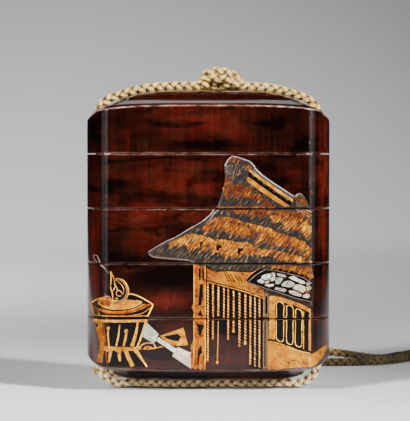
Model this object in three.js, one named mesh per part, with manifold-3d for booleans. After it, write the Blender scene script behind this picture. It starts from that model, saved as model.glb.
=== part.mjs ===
// An inro: a Japanese stacked case of lacquered wood that hangs from a sash on a braided cord.
// A lid and four compartments stack on one another. Each compartment has a thin collar that the
// piece above slips over, and a cord channel runs down inside both ends of the stack. One cord goes
// down one channel, under the case and up the other, is tied on the lid, and its two tails hang
// down the back and lie on the ground behind the case.
// Millimetres, +Z up, the front faces -Y, and the origin is on the ground under the case's centre.
import * as THREE from "three";
import { mergeVertices } from "three/addons/utils/BufferGeometryUtils.js";
import Module from "manifold-3d";

const wasm = await Module();
wasm.setup();

// The gap that two pieces keep where they touch
const GAP = 0.3;

// The cord
const CORD_RADIUS = 1.1;
const CORD_SIDES = 8;
const PRESSED_CORD = { flat: 1.1, wide: 1.45, side: 0.45 };

// The case's plan: nearly flat front and back, rounded corners and full rounded ends
const HALF_WIDTH = 32;
const HALF_DEPTH = 12.5;
const FRONT_RADIUS = 700;
const END_RADIUS = 16.4;
const CORNER_RADIUS = 2.6;

// The case's heights: it rests on the cord, and its top and foot mirror each other
const FOOT_HEIGHT = 2 * CORD_RADIUS + GAP;
const CASE_HEIGHT = 76.4;
const MIDDLE = FOOT_HEIGHT + CASE_HEIGHT / 2;
const COMPARTMENT_HEIGHT = 14.25;
const SEAMS = [1.5, 0.5, -0.5, -1.5].map((k) => MIDDLE + k * COMPARTMENT_HEIGHT);

// The crowns of the lid and the foot, as heights from the case's middle: an edge that sags towards
// the corners and drops along the ends, a sloping shoulder, and a cambered plateau with a low ridge.
// The cord leaves each crown's channels through the points of its mouth.
const FLAT_EDGE = 27;
const RIDGE_RISE = 0.45;
const PLATEAU_HEIGHT = CASE_HEIGHT / 2 - RIDGE_RISE;
const CAMBER_SPAN = 23;
const SHOULDER_LIP = { inset: 1.6, rise: 0.45 };
const RISER_FOOT = [26, 8.2];
const PLATEAU_LOOPS = [
  { half: [25.4, 7.5], ridgeShare: 0 },
  { half: [24.2, 4], ridgeShare: 0.75 },
  { half: [23.4, 1.4], ridgeShare: 1 },
];
const LID = {
  edge: { height: 34, sag: 1, endDrop: 2.9 },
  shoulderRise: 1.8,
  camber: { drop: 2.3, power: 4 },
  cordMouth: [[28.6, 30.6], [28.8, 32.4], [28.1, 34.4], [26.3, 35.8]],
};
const FOOT = {
  edge: { height: 34.9, sag: 0.8, endDrop: 2.5 },
  shoulderRise: 1.5,
  camber: { drop: 0.7, power: 6 },
  cordMouth: [[28.6, 32], [28.8, 34.6], [28, 36.8], [26.2, 38.4], [23.2, 39.35]],
};

// Walls, collars and channels
const COLLAR_LENGTH = 4.5;
const COLLAR_HALF = [25.6, 9.9];
const COLLAR_WALL = 1;
const COLLAR_CORNER = 3;
const FLOOR_THICKNESS = 1;
const CROWN_HOLLOW = 32.2;
const PLATEAU_HOLLOW = { half: [20, 5.6], height: 35.4 };
const CHANNEL_X = 28.6;
const CHANNEL_RADIUS = 1.9;

// The raised thatched roof on the front, in x and z: the concave slope from the eave's tip up to the
// peak, the ridge down to its end knob, and the eave back from under the right edge
const RELIEF_HEIGHT = 0.4;
const RELIEF_ROOT = { half: [30, 11.6], corner: 2 };
const ROOF = {
  slope: [[-15.8, 36.6], [-8.3, 40.7], [-2, 44.3], [1.4, 48], [3.2, 51.4], [4.2, 55.6], [4.1, 59.2]],
  ridge: [[6, 61.6], [8.7, 61.1], [11.2, 60], [14, 56.8], [22.4, 51.4], [23.6, 52], [26, 48.8]],
  eave: [[26.6, 28.6], [20, 31], [10, 31.6], [0, 32.6], [-4, 34.3], [-11.4, 34.9], [-15.2, 35.5]],
};

const colours = {
  lacquer: 0x3c120c,
  cord: 0xd8c08e,
};

// ---- solids ----

// A closed geometry as a manifold-3d solid.
function solidOf(geometry) {
  const bare = geometry.clone();
  bare.deleteAttribute("normal");
  bare.deleteAttribute("uv");
  const merged = mergeVertices(bare, 1e-4);
  const triVerts = new Uint32Array(merged.index.array);
  const vertProperties = merged.attributes.position.array;
  return new wasm.Manifold(new wasm.Mesh({ numProp: 3, vertProperties, triVerts }));
}

// A manifold-3d solid as a three.js geometry.
function geometryOf(solid) {
  const { vertProperties, triVerts } = solid.getMesh();
  const geometry = new THREE.BufferGeometry();
  geometry.setAttribute("position", new THREE.BufferAttribute(new Float32Array(vertProperties), 3));
  geometry.setIndex(new THREE.BufferAttribute(new Uint32Array(triVerts), 1));
  const flat = geometry.toNonIndexed();
  flat.computeVertexNormals();
  return flat;
}

// A prism between two heights over an outline in plan.
function prism(outline, low, high) {
  const geometry = new THREE.ExtrudeGeometry(new THREE.Shape(outline), {
    depth: high - low,
    bevelEnabled: false,
  });
  return solidOf(geometry.translate(0, 0, low));
}

function cylinder(x, radius, low, high) {
  const geometry = new THREE.CylinderGeometry(radius, radius, high - low, 16);
  return solidOf(geometry.rotateX(Math.PI / 2).translate(x, 0, (low + high) / 2));
}

// A solid through loops of points that all run the same way round, with both ends closed.
// A loop is symmetric about the X axis and starts on it, so an end is a strip across it.
function loft(loops) {
  const count = loops[0].length;
  const index = [];
  const quad = (a, b, c, d) => index.push(a, b, c, a, c, d);
  for (let k = 0; k < loops.length - 1; k++)
    for (let i = 0; i < count; i++) {
      const next = (i + 1) % count;
      quad(k * count + i, k * count + next, (k + 1) * count + next, (k + 1) * count + i);
    }
  const last = (loops.length - 1) * count;
  for (let i = 0; i < count / 2; i++) {
    const across = (count - i) % count;
    quad(across, across === 0 ? count - 1 : across - 1, i + 1, i);
    quad(last + i, last + i + 1, last + count - i - 1, last + across);
  }
  const triangles = [];
  for (let i = 0; i < index.length; i += 3) {
    const [a, b, c] = index.slice(i, i + 3);
    if (a !== b && b !== c && a !== c) triangles.push(a, b, c);
  }
  const positions = new Float32Array(loops.flat(2));
  const geometry = new THREE.BufferGeometry();
  geometry.setAttribute("position", new THREE.BufferAttribute(positions, 3));
  geometry.setIndex(triangles);
  return solidOf(geometry);
}

// ---- plans ----

// A quarter outline from the end to the front or back, mirrored into a whole one that starts at +X.
function wholeOutline(quarter) {
  const half = [...quarter, ...quarter.slice(0, -1).reverse().map(([x, y]) => [-x, y])];
  return [...half, ...half.slice(1, -1).reverse().map(([x, y]) => [x, -y])];
}

function arc(centre, radius, from, to, steps) {
  return Array.from({ length: steps + 1 }, (_, i) => {
    const angle = from + ((to - from) * i) / steps;
    return [centre[0] + radius * Math.cos(angle), centre[1] + radius * Math.sin(angle)];
  });
}

// The case's outline in plan, grown outwards by `outset`: an end arc, a shallow arc across the back,
// and a corner arc that is tangent to both.
function caseOutline(outset = 0) {
  const end = [HALF_WIDTH - END_RADIUS, 0];
  const back = [0, HALF_DEPTH - FRONT_RADIUS];
  const toEnd = END_RADIUS - CORNER_RADIUS;
  const toBack = FRONT_RADIUS - CORNER_RADIUS;
  const apart = Math.hypot(end[0] - back[0], end[1] - back[1]);
  const along = (toBack ** 2 - toEnd ** 2 + apart ** 2) / (2 * apart);
  const aside = Math.sqrt(toBack ** 2 - along ** 2);
  const [dx, dy] = [(end[0] - back[0]) / apart, (end[1] - back[1]) / apart];
  const corner = [back[0] + along * dx + aside * dy, back[1] + along * dy - aside * dx];
  const endTurn = Math.atan2(corner[1] - end[1], corner[0] - end[0]);
  const backTurn = Math.atan2(corner[1] - back[1], corner[0] - back[0]);
  return wholeOutline([
    ...arc(end, END_RADIUS + outset, 0, endTurn, 6),
    ...arc(corner, CORNER_RADIUS + outset, endTurn, backTurn, 4).slice(1),
    ...arc(back, FRONT_RADIUS + outset, backTurn, Math.PI / 2, 4).slice(1),
  ]);
}

// An oblong with rounded corners, with `grow` added all round.
function oblong([halfLength, halfDepth], radius, grow = 0) {
  const centre = [halfLength - radius, halfDepth - radius];
  return wholeOutline([
    [halfLength + grow, 0],
    ...arc(centre, radius + grow, 0, Math.PI / 2, 4),
    [0, halfDepth + grow],
  ]);
}

// The case's outline drawn in towards an oval of another size.
function scaledOutline([halfLength, halfDepth]) {
  return caseOutline().map(([x, y]) => [(x * halfLength) / HALF_WIDTH, (y * halfDepth) / HALF_DEPTH]);
}

const points2 = (outline) => outline.map(([x, y]) => new THREE.Vector2(x, y));

// ---- the crowns ----

function edgeHeight(x, { height, sag, endDrop }) {
  const middle = sag * Math.min(1, Math.abs(x) / FLAT_EDGE) ** 4;
  const end = endDrop * Math.max(0, (Math.abs(x) - FLAT_EDGE) / (HALF_WIDTH - FLAT_EDGE)) ** 2;
  return height - middle - end;
}

function plateauHeight(x, { drop, power }) {
  return PLATEAU_HEIGHT - drop * (Math.abs(x) / CAMBER_SPAN) ** power;
}

// The case from a seam, given as a height from the middle, up to the crown: its loops are the seam,
// the edge, the shoulder's lip and top, and the plateau's loops up to the ridge.
function crownedBlock(seam, { edge, shoulderRise, camber }) {
  const raised = (outline, height) => outline.map(([x, y]) => [x, y, height(x)]);
  const shoulder = (rise) => (x) => edgeHeight(x, edge) + rise;
  const plateau = (rise) => (x) => plateauHeight(x, camber) + rise;
  const shoulderTop = (x) => Math.min(shoulder(shoulderRise)(x), plateau(0)(x));
  return loft([
    raised(caseOutline(), () => seam),
    raised(caseOutline(), shoulder(0)),
    raised(caseOutline(-SHOULDER_LIP.inset), shoulder(SHOULDER_LIP.rise)),
    raised(scaledOutline(RISER_FOOT), shoulderTop),
    ...PLATEAU_LOOPS.map(({ half, ridgeShare }) => {
      return raised(scaledOutline(half), plateau(ridgeShare * RIDGE_RISE));
    }),
  ]);
}

// ---- the pieces of the case ----

function withChannels(solid) {
  return [-CHANNEL_X, CHANNEL_X].reduce(
    (left, x) => left.subtract(cylinder(x, CHANNEL_RADIUS, -10, 100)),
    solid,
  );
}

// The hollow under the crown: as wide as the collar's socket, and higher under the plateau.
function crownHollow(grow, mouth) {
  const wide = prism(points2(oblong(COLLAR_HALF, COLLAR_CORNER, grow)), mouth, CROWN_HOLLOW);
  const high = prism(points2(oblong(PLATEAU_HOLLOW.half, COLLAR_CORNER)), mouth, PLATEAU_HOLLOW.height);
  return wide.add(high);
}

function lid() {
  const seam = SEAMS[0] - MIDDLE + GAP / 2;
  const shell = crownedBlock(seam, LID).subtract(crownHollow(GAP, seam - 1));
  return withChannels(shell.translate([0, 0, MIDDLE]));
}

// The collar that stands up out of a compartment, and the well inside it down to `floor`.
function withCollar(block, top, floor) {
  const outside = points2(oblong(COLLAR_HALF, COLLAR_CORNER));
  const inside = points2(oblong(COLLAR_HALF, COLLAR_CORNER, -COLLAR_WALL));
  const collar = prism(outside, top - 1, top + COLLAR_LENGTH);
  return block.add(collar).subtract(prism(inside, floor, top + COLLAR_LENGTH + 1));
}

function compartment(top, bottom) {
  const socketTop = bottom + COLLAR_LENGTH + GAP;
  const socket = prism(points2(oblong(COLLAR_HALF, COLLAR_CORNER, GAP)), bottom - 1, socketTop);
  const block = prism(points2(caseOutline()), bottom + GAP / 2, top - GAP / 2);
  return withChannels(withCollar(block, top, socketTop + FLOOR_THICKNESS).subtract(socket));
}

// The lowest compartment: the crown turned over makes its foot.
function footCompartment(top) {
  const seam = MIDDLE - top + GAP / 2;
  const turned = crownedBlock(seam, FOOT).subtract(crownHollow(-COLLAR_WALL, seam - 1));
  const block = turned.rotate([180, 0, 0]).translate([0, 0, MIDDLE]);
  return withChannels(withCollar(block, top, top - 1));
}

// The thatched roof's low relief: its outline pressed through a skin just over the case's front.
function roofRelief() {
  const outline = new THREE.Shape();
  outline.moveTo(...ROOF.slope[0]);
  outline.splineThru(points2(ROOF.slope.slice(1)));
  ROOF.ridge.forEach((point) => outline.lineTo(...point));
  outline.lineTo(...ROOF.eave[0]);
  outline.splineThru(points2(ROOF.eave.slice(1)));
  const sheet = new THREE.ExtrudeGeometry(outline, {
    depth: HALF_DEPTH,
    bevelEnabled: false,
    curveSegments: 2,
  });
  const pressed = solidOf(sheet.rotateX(Math.PI / 2).translate(0, -HALF_DEPTH / 2, 0));
  const skin = prism(points2(caseOutline(RELIEF_HEIGHT)), SEAMS[3], SEAMS[0]);
  const root = prism(points2(oblong(RELIEF_ROOT.half, RELIEF_ROOT.corner)), SEAMS[3] - 1, SEAMS[0] + 1);
  return pressed.intersect(skin.subtract(root));
}

// The stretch of the relief that one compartment carries, a little short of its edges.
function reliefBetween(relief, top, bottom) {
  return relief.intersect(prism(points2(oblong([40, 20], 2)), bottom + GAP, top - GAP));
}

// ---- the cord ----

// A tube of the cord's section along points, which a smooth curve joins.
function cordTube(points, steps, section = roundSection()) {
  const route = new THREE.CatmullRomCurve3(points.map((p) => new THREE.Vector3(...p)));
  return solidOf(new THREE.ExtrudeGeometry(section, { steps, extrudePath: route, bevelEnabled: false }));
}

function roundSection() {
  const corner = (i) => ((i + 0.5) * 2 * Math.PI) / CORD_SIDES;
  const radius = CORD_RADIUS / Math.cos(Math.PI / CORD_SIDES);
  return new THREE.Shape(
    Array.from({ length: CORD_SIDES }, (_, i) => {
      return new THREE.Vector2(radius * Math.cos(corner(i)), radius * Math.sin(corner(i)));
    }),
  );
}

// The cord pressed flat by the case that stands on it: wide, with a level underside.
function pressedSection() {
  const { flat, wide, side } = PRESSED_CORD;
  const quarter = [[wide, side], [flat, CORD_RADIUS]];
  const top = [...quarter, ...quarter.map(([x, y]) => [-x, y]).reverse()];
  return new THREE.Shape(points2([...top, ...top.map(([x, y]) => [-x, -y])]));
}

// Half the loop's line outside the case, from a channel's mouth in to the middle, as heights from
// the case's middle: it follows the ridge at a cord's radius and a gap above it.
function outsideRoute({ camber, cordMouth }) {
  const overRidge = (x) => [x, plateauHeight(x, camber) + RIDGE_RISE + CORD_RADIUS + GAP];
  return [...cordMouth, ...[20.4, 16, 11, 5, 0].map(overRidge)];
}

// One side of the loop: up the channel, out of the lid and in over the crown to the knot.
function sideCord(side, knotEnd) {
  const outside = outsideRoute(LID);
  const crown = outside.filter(([x]) => x > knotEnd + 1);
  const ridge = outside[outside.length - 1][1];
  const channel = [[CHANNEL_X, GAP - FOOT.cordMouth[0][1]], [CHANNEL_X, 0]];
  const points = [...channel, ...crown, [knotEnd, ridge]];
  return cordTube(points.map(([x, z]) => [side * x, 0, MIDDLE + z]), 48);
}

// The stretch under the case, from channel to channel.
function underCord() {
  const half = outsideRoute(FOOT).map(([x, z]) => [-x, 0, MIDDLE - z]);
  const other = half.slice(0, -1).reverse().map(([x, y, z]) => [-x, y, z]);
  return cordTube([...half, ...other], 40, pressedSection());
}

const KNOT = { centre: [3.1, 0.4, 82.4], half: [5.1, 3.3, 2.9] };
const KNOT_ENDS = [1.9, 8.1];
const END_KNOT = { centre: [71.2, 94, 2.6], half: [4.2, 3.2, 2.6] };

function knot({ centre, half }) {
  const ball = new THREE.SphereGeometry(1, 16, 10).rotateX(Math.PI / 2);
  return solidOf(ball.scale(...half).translate(...centre));
}

// The tails' routes: over the back of the lid, down behind the case, a turn on the ground to the
// left, and away to the right. The first crosses over the second just right of the case.
const FLOOR = CORD_RADIUS + 0.1;
const tailOverRoute = [
  [4.5, 4, 81.4],
  [4.3, 8.4, 80],
  [4, 11.5, 77.7],
  [3.6, 14, 75],
  [3.4, 14.5, 71],
  [3, 14.4, 56],
  [2.5, 14.4, 38],
  [1.9, 14.4, 20],
  [1.4, 14.9, 8],
  [-0.6, 18.2, 2.6],
  [-5, 22.6, FLOOR],
  [-13, 27, FLOOR],
  [-21.5, 31, FLOOR],
  [-26.6, 35.4, FLOOR],
  [-28, 40, FLOOR],
  [-25.4, 44.2, FLOOR],
  [-17.5, 47.2, FLOOR],
  [-6, 49.6, FLOOR],
  [6, 52, FLOOR],
  [13.5, 53.6, 1.9],
  [19.5, 55.6, 3.5],
  [25, 58.8, 4.4],
  [30.5, 62.6, 4.4],
  [36, 65.4, 3.8],
  [42, 67.4, 2.9],
  [47.5, 70.2, 1.8],
  [52, 75, FLOOR],
  [56, 81.4, FLOOR],
  [60.4, 88, FLOOR],
  [66.4, 93, FLOOR + 0.5],
];
const tailUnderRoute = [
  [1.7, 4, 81.4],
  [1.5, 8.4, 80],
  [1.2, 11.5, 77.7],
  [0.8, 14, 75],
  [0.6, 14.5, 71],
  [0.2, 14.4, 56],
  [-0.3, 14.4, 38],
  [-0.9, 14.4, 20],
  [-1.5, 14.8, 8],
  [-3.6, 17.2, 2.6],
  [-7.2, 20.4, FLOOR],
  [-14.6, 24.3, FLOOR],
  [-23.4, 28.2, FLOOR],
  [-29.6, 33.6, FLOOR],
  [-31.4, 40.4, FLOOR],
  [-27.8, 46.6, FLOOR],
  [-18.6, 50.2, FLOOR],
  [-6.6, 52.7, FLOOR],
  [5.6, 55.2, FLOOR],
  [17, 58.8, FLOOR],
  [28, 61.4, FLOOR],
  [38, 62, FLOOR],
  [46, 63, FLOOR],
  [52.4, 67, FLOOR],
  [57.4, 74, FLOOR],
  [62, 81.6, FLOOR],
  [67.4, 88, FLOOR],
  [70, 90.4, FLOOR + 0.5],
];

// ---- the whole object ----

function pieceMesh(name, solid, colour, roughness) {
  const material = new THREE.MeshStandardMaterial({ color: colour, roughness, metalness: 0 });
  const mesh = new THREE.Mesh(geometryOf(solid), material);
  mesh.name = name;
  return mesh;
}

const lacquered = (name, solid) => pieceMesh(name, solid, colours.lacquer, 0.2);
const braided = (name, solid) => pieceMesh(name, solid, colours.cord, 0.9);

function caseGroup() {
  const group = new THREE.Group();
  const relief = roofRelief();
  group.add(lacquered("lid", lid()));
  for (let k = 0; k < SEAMS.length; k++) {
    const top = SEAMS[k];
    const bottom = SEAMS[k + 1];
    const plain = bottom === undefined ? footCompartment(top) : compartment(top, bottom);
    const carried = bottom === undefined ? plain : plain.add(reliefBetween(relief, top, bottom));
    group.add(lacquered(`compartment_${k + 1}`, carried));
  }
  return group;
}

function cordGroup() {
  const group = new THREE.Group();
  group.add(braided("cord_left_side", sideCord(-1, KNOT_ENDS[0])));
  group.add(braided("cord_right_side", sideCord(1, KNOT_ENDS[1])));
  group.add(braided("cord_under_case", underCord()));
  group.add(braided("cord_knot", knot(KNOT)));
  group.add(braided("cord_tail_over", cordTube(tailOverRoute, 72)));
  group.add(braided("cord_tail_under", cordTube(tailUnderRoute, 72)));
  group.add(braided("cord_end_knot", knot(END_KNOT)));
  return group;
}

const inro = new THREE.Group();
inro.add(caseGroup(), cordGroup());

export default inro;
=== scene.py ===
import math
import random

import bmesh
import bpy
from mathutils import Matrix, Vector
from mathutils.geometry import delaunay_2d_cdt


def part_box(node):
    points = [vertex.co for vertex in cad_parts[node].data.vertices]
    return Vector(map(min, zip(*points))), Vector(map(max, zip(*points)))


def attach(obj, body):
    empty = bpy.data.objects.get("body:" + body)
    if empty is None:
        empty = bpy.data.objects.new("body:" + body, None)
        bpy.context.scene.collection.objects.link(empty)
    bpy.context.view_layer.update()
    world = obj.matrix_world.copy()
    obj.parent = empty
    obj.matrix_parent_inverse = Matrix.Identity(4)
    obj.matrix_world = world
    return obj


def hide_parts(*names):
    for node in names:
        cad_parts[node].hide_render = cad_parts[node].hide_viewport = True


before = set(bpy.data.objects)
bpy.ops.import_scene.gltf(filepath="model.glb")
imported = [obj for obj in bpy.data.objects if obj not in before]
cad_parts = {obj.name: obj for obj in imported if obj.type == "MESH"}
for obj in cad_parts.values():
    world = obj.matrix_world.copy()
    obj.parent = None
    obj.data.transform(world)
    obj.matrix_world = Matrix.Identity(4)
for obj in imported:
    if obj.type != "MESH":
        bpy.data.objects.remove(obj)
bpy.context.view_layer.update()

mm = 0.001          # lengths below are in millimetres, and meshes are made in metres
print("inro: frame loaded")


def boxMm(node):
    low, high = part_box(node)
    return [v / mm for v in low], [v / mm for v in high]


_, lidHigh = boxMm("lid")
footLow, _ = boxMm("compartment_4")
case = {
    "halfWidth": lidHigh[0],
    "halfDepth": lidHigh[1],
    "middle": (lidHigh[2] + footLow[2]) / 2,
    "endRadius": 16.4,       # the full round of each end, in plan
    "cornerRadius": 2.6,
    "frontRadius": 700,      # front and back are very slightly bowed
    "endSteps": 16, "cornerSteps": 10, "frontSteps": 14,
    "seamGap": 0.22,         # how far two pieces stand apart where they meet
    "solidGap": 0.3,         # how far the plain solids stand apart there
    "rubbed": [0.42, 0.34, 0.24, 0.24],      # how far the top arris under each seam is rubbed
}
case["top"] = lidHigh[2] - case["middle"]
seams = [boxMm(node)[0][2] - case["solidGap"] / 2
         for node in ("lid", "compartment_1", "compartment_2", "compartment_3")]

crowns = {
    "lid": {"edge": 34, "sag": 1, "endDrop": 2.9, "rise": 1.8, "drop": 2.3, "power": 4, "rubbed": 1,
            "mouth": [(28.6, 30.6), (28.8, 32.4), (28.1, 34.4), (26.3, 35.8)]},
    "foot": {"edge": 34.9, "sag": 0.8, "endDrop": 2.5, "rise": 1.5, "drop": 0.7, "power": 6, "rubbed": 0.35,
             "mouth": [(28.6, 32), (28.8, 34.6), (28, 36.8), (26.2, 38.4), (23.2, 39.35)]},
}
crownShape = {"flatEdge": 27, "ridge": 0.45, "span": 23, "riserFoot": (26, 8.2), "plateau": (25.4, 7.5)}
inside = {"collar": (25.6, 9.9), "corner": 3, "wall": 1, "collarLength": 4.5, "gap": 0.3, "floor": 1,
          "ease": 0.15,            # how far the arrises of collars and sockets are eased
          "hollow": 32.2, "deepHollow": 35.4, "deepHalf": (20, 5.6), "channelX": 28.6, "channelRadius": 1.9}
cordFacts = {"radius": 1.2, "lead": 5.0, "ringStep": 0.34, "ringPoints": 16}


def makeObject(name, vertices, faces, smoothAngle=None):
    mesh = bpy.data.meshes.new(name)
    mesh.from_pydata([(x * mm, y * mm, z * mm) for x, y, z in vertices], [], faces)
    mesh.validate()
    obj = bpy.data.objects.new(name, mesh)
    bpy.context.scene.collection.objects.link(obj)
    if smoothAngle is not None:
        smoothShade(mesh, smoothAngle)
    return obj


def smoothShade(mesh, angle):
    # smooth shading that stays crisp across edges sharper than the angle, in degrees
    work = bmesh.new()
    work.from_mesh(mesh)
    bmesh.ops.recalc_face_normals(work, faces=work.faces)
    limit = math.radians(angle)
    for face in work.faces:
        face.smooth = True
    for edge in work.edges:
        edge.smooth = len(edge.link_faces) != 2 or edge.calc_face_angle(0) < limit
    work.to_mesh(mesh)
    work.free()


def finishPiece(obj, material, nodes):
    obj.data.materials.clear()
    obj.data.materials.append(material)
    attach(obj, "root")
    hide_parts(*nodes)
    return obj


def linear(hexColour):
    # an sRGB hex value as a linear colour
    values = [int(hexColour[i:i + 2], 16) / 255 for i in (1, 3, 5)]
    return (*[v / 12.92 if v <= 0.04045 else ((v + 0.055) / 1.055) ** 2.4 for v in values], 1)


def addNode(tree, kind, inputs=None, stops=(), **settings):
    # an input takes a value, a socket, or a node, whose first live output it then gets; the stops
    # are a colour ramp's, each a hex colour or a grey
    node = tree.nodes.new(f"ShaderNode{kind}")
    for key, value in settings.items():
        setattr(node, key, value)
    for _ in stops[2:]:
        node.color_ramp.elements.new(0.5)
    for i, (position, colour) in enumerate(stops):
        colour = linear(colour) if isinstance(colour, str) else (colour, colour, colour, 1)
        node.color_ramp.elements[i].position = position
        node.color_ramp.elements[i].color = colour
    for key, value in (inputs or {}).items():
        if isinstance(value, bpy.types.Node):
            value = next(socket for socket in value.outputs if socket.enabled)
        if isinstance(value, bpy.types.NodeSocket):
            tree.links.new(value, node.inputs[key])
        else:
            node.inputs[key].default_value = value
    return node


def newMaterial(name):
    material = bpy.data.materials.new(name)
    material.use_nodes = True
    material.node_tree.nodes.clear()
    return material, material.node_tree


def closeMaterial(tree, inputs):
    surface = addNode(tree, "BsdfPrincipled", inputs)
    addNode(tree, "OutputMaterial", {"Surface": surface})


def noiseAt(tree, scale, detail=3, roughness=0.55, distortion=0):
    # cloudy noise in the object's own space, with grains of 1 / scale mm along each axis
    place = addNode(tree, "TexCoord").outputs["Object"]
    stretched = addNode(tree, "Mapping", {"Vector": place, "Scale": [s / mm for s in scale]})
    return addNode(tree, "TexNoise", {"Vector": stretched, "Scale": 1, "Detail": detail,
                                      "Roughness": roughness, "Distortion": distortion})


def stirred(tree, value, noise, amount):
    # a value pushed up and down by a noise
    swing = addNode(tree, "Math", {0: noise, 1: 0.5}, operation="SUBTRACT")
    return addNode(tree, "Math", {0: swing, 1: amount, 2: value}, operation="MULTIPLY_ADD")


lacquerFacts = {
    "night": "#050202", "brown": "#1a0804", "red": "#37110b", "ember": "#4f1c0e",
    "crimson": "#ffbcc4", "amber": "#f8fff0",          # tints that drift over the four above
    "wornDark": "#4c1c13", "wornEdge": "#8c6052", "chip": "#bd9c90", "roughness": 0.12,
    # where the red ground shows through the black most, and one painted reflection: x, z, half width, half
    # height, strength
    "patches": [(-3, 71, 14, 6, 0.26), (-10, 30.5, 9, 3.5, -0.4), (12, 56, 8, 6, -0.1),
                (-5, 54, 13, 8, 0.26), (-16, 43, 6, 8, 0.26), (0, 46, 8, 3, 0.25), (-11, 24, 7, 2.6, 0.35),
                (16, 58, 7, 3, 0.12), (-30, 45, 2.2, 30, 0.14), (30, 52, 2, 24, 0.5), (-23, 60, 5, 9, 0.06),
                (0, 64.5, 12, 1.4, -0.2), (18, 66, 7, 5, -0.1), (-20, 34, 9, 2, -0.15),
                # the wide patch at (0, 10) lifts the red low on the front: a painted reflection of the pale
                # floor
                (0, 10, 34, 8, 0.08), (-30, 24, 3, 24, 0.2), (30.5, 16, 3, 15, 0.2)],
}


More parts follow.
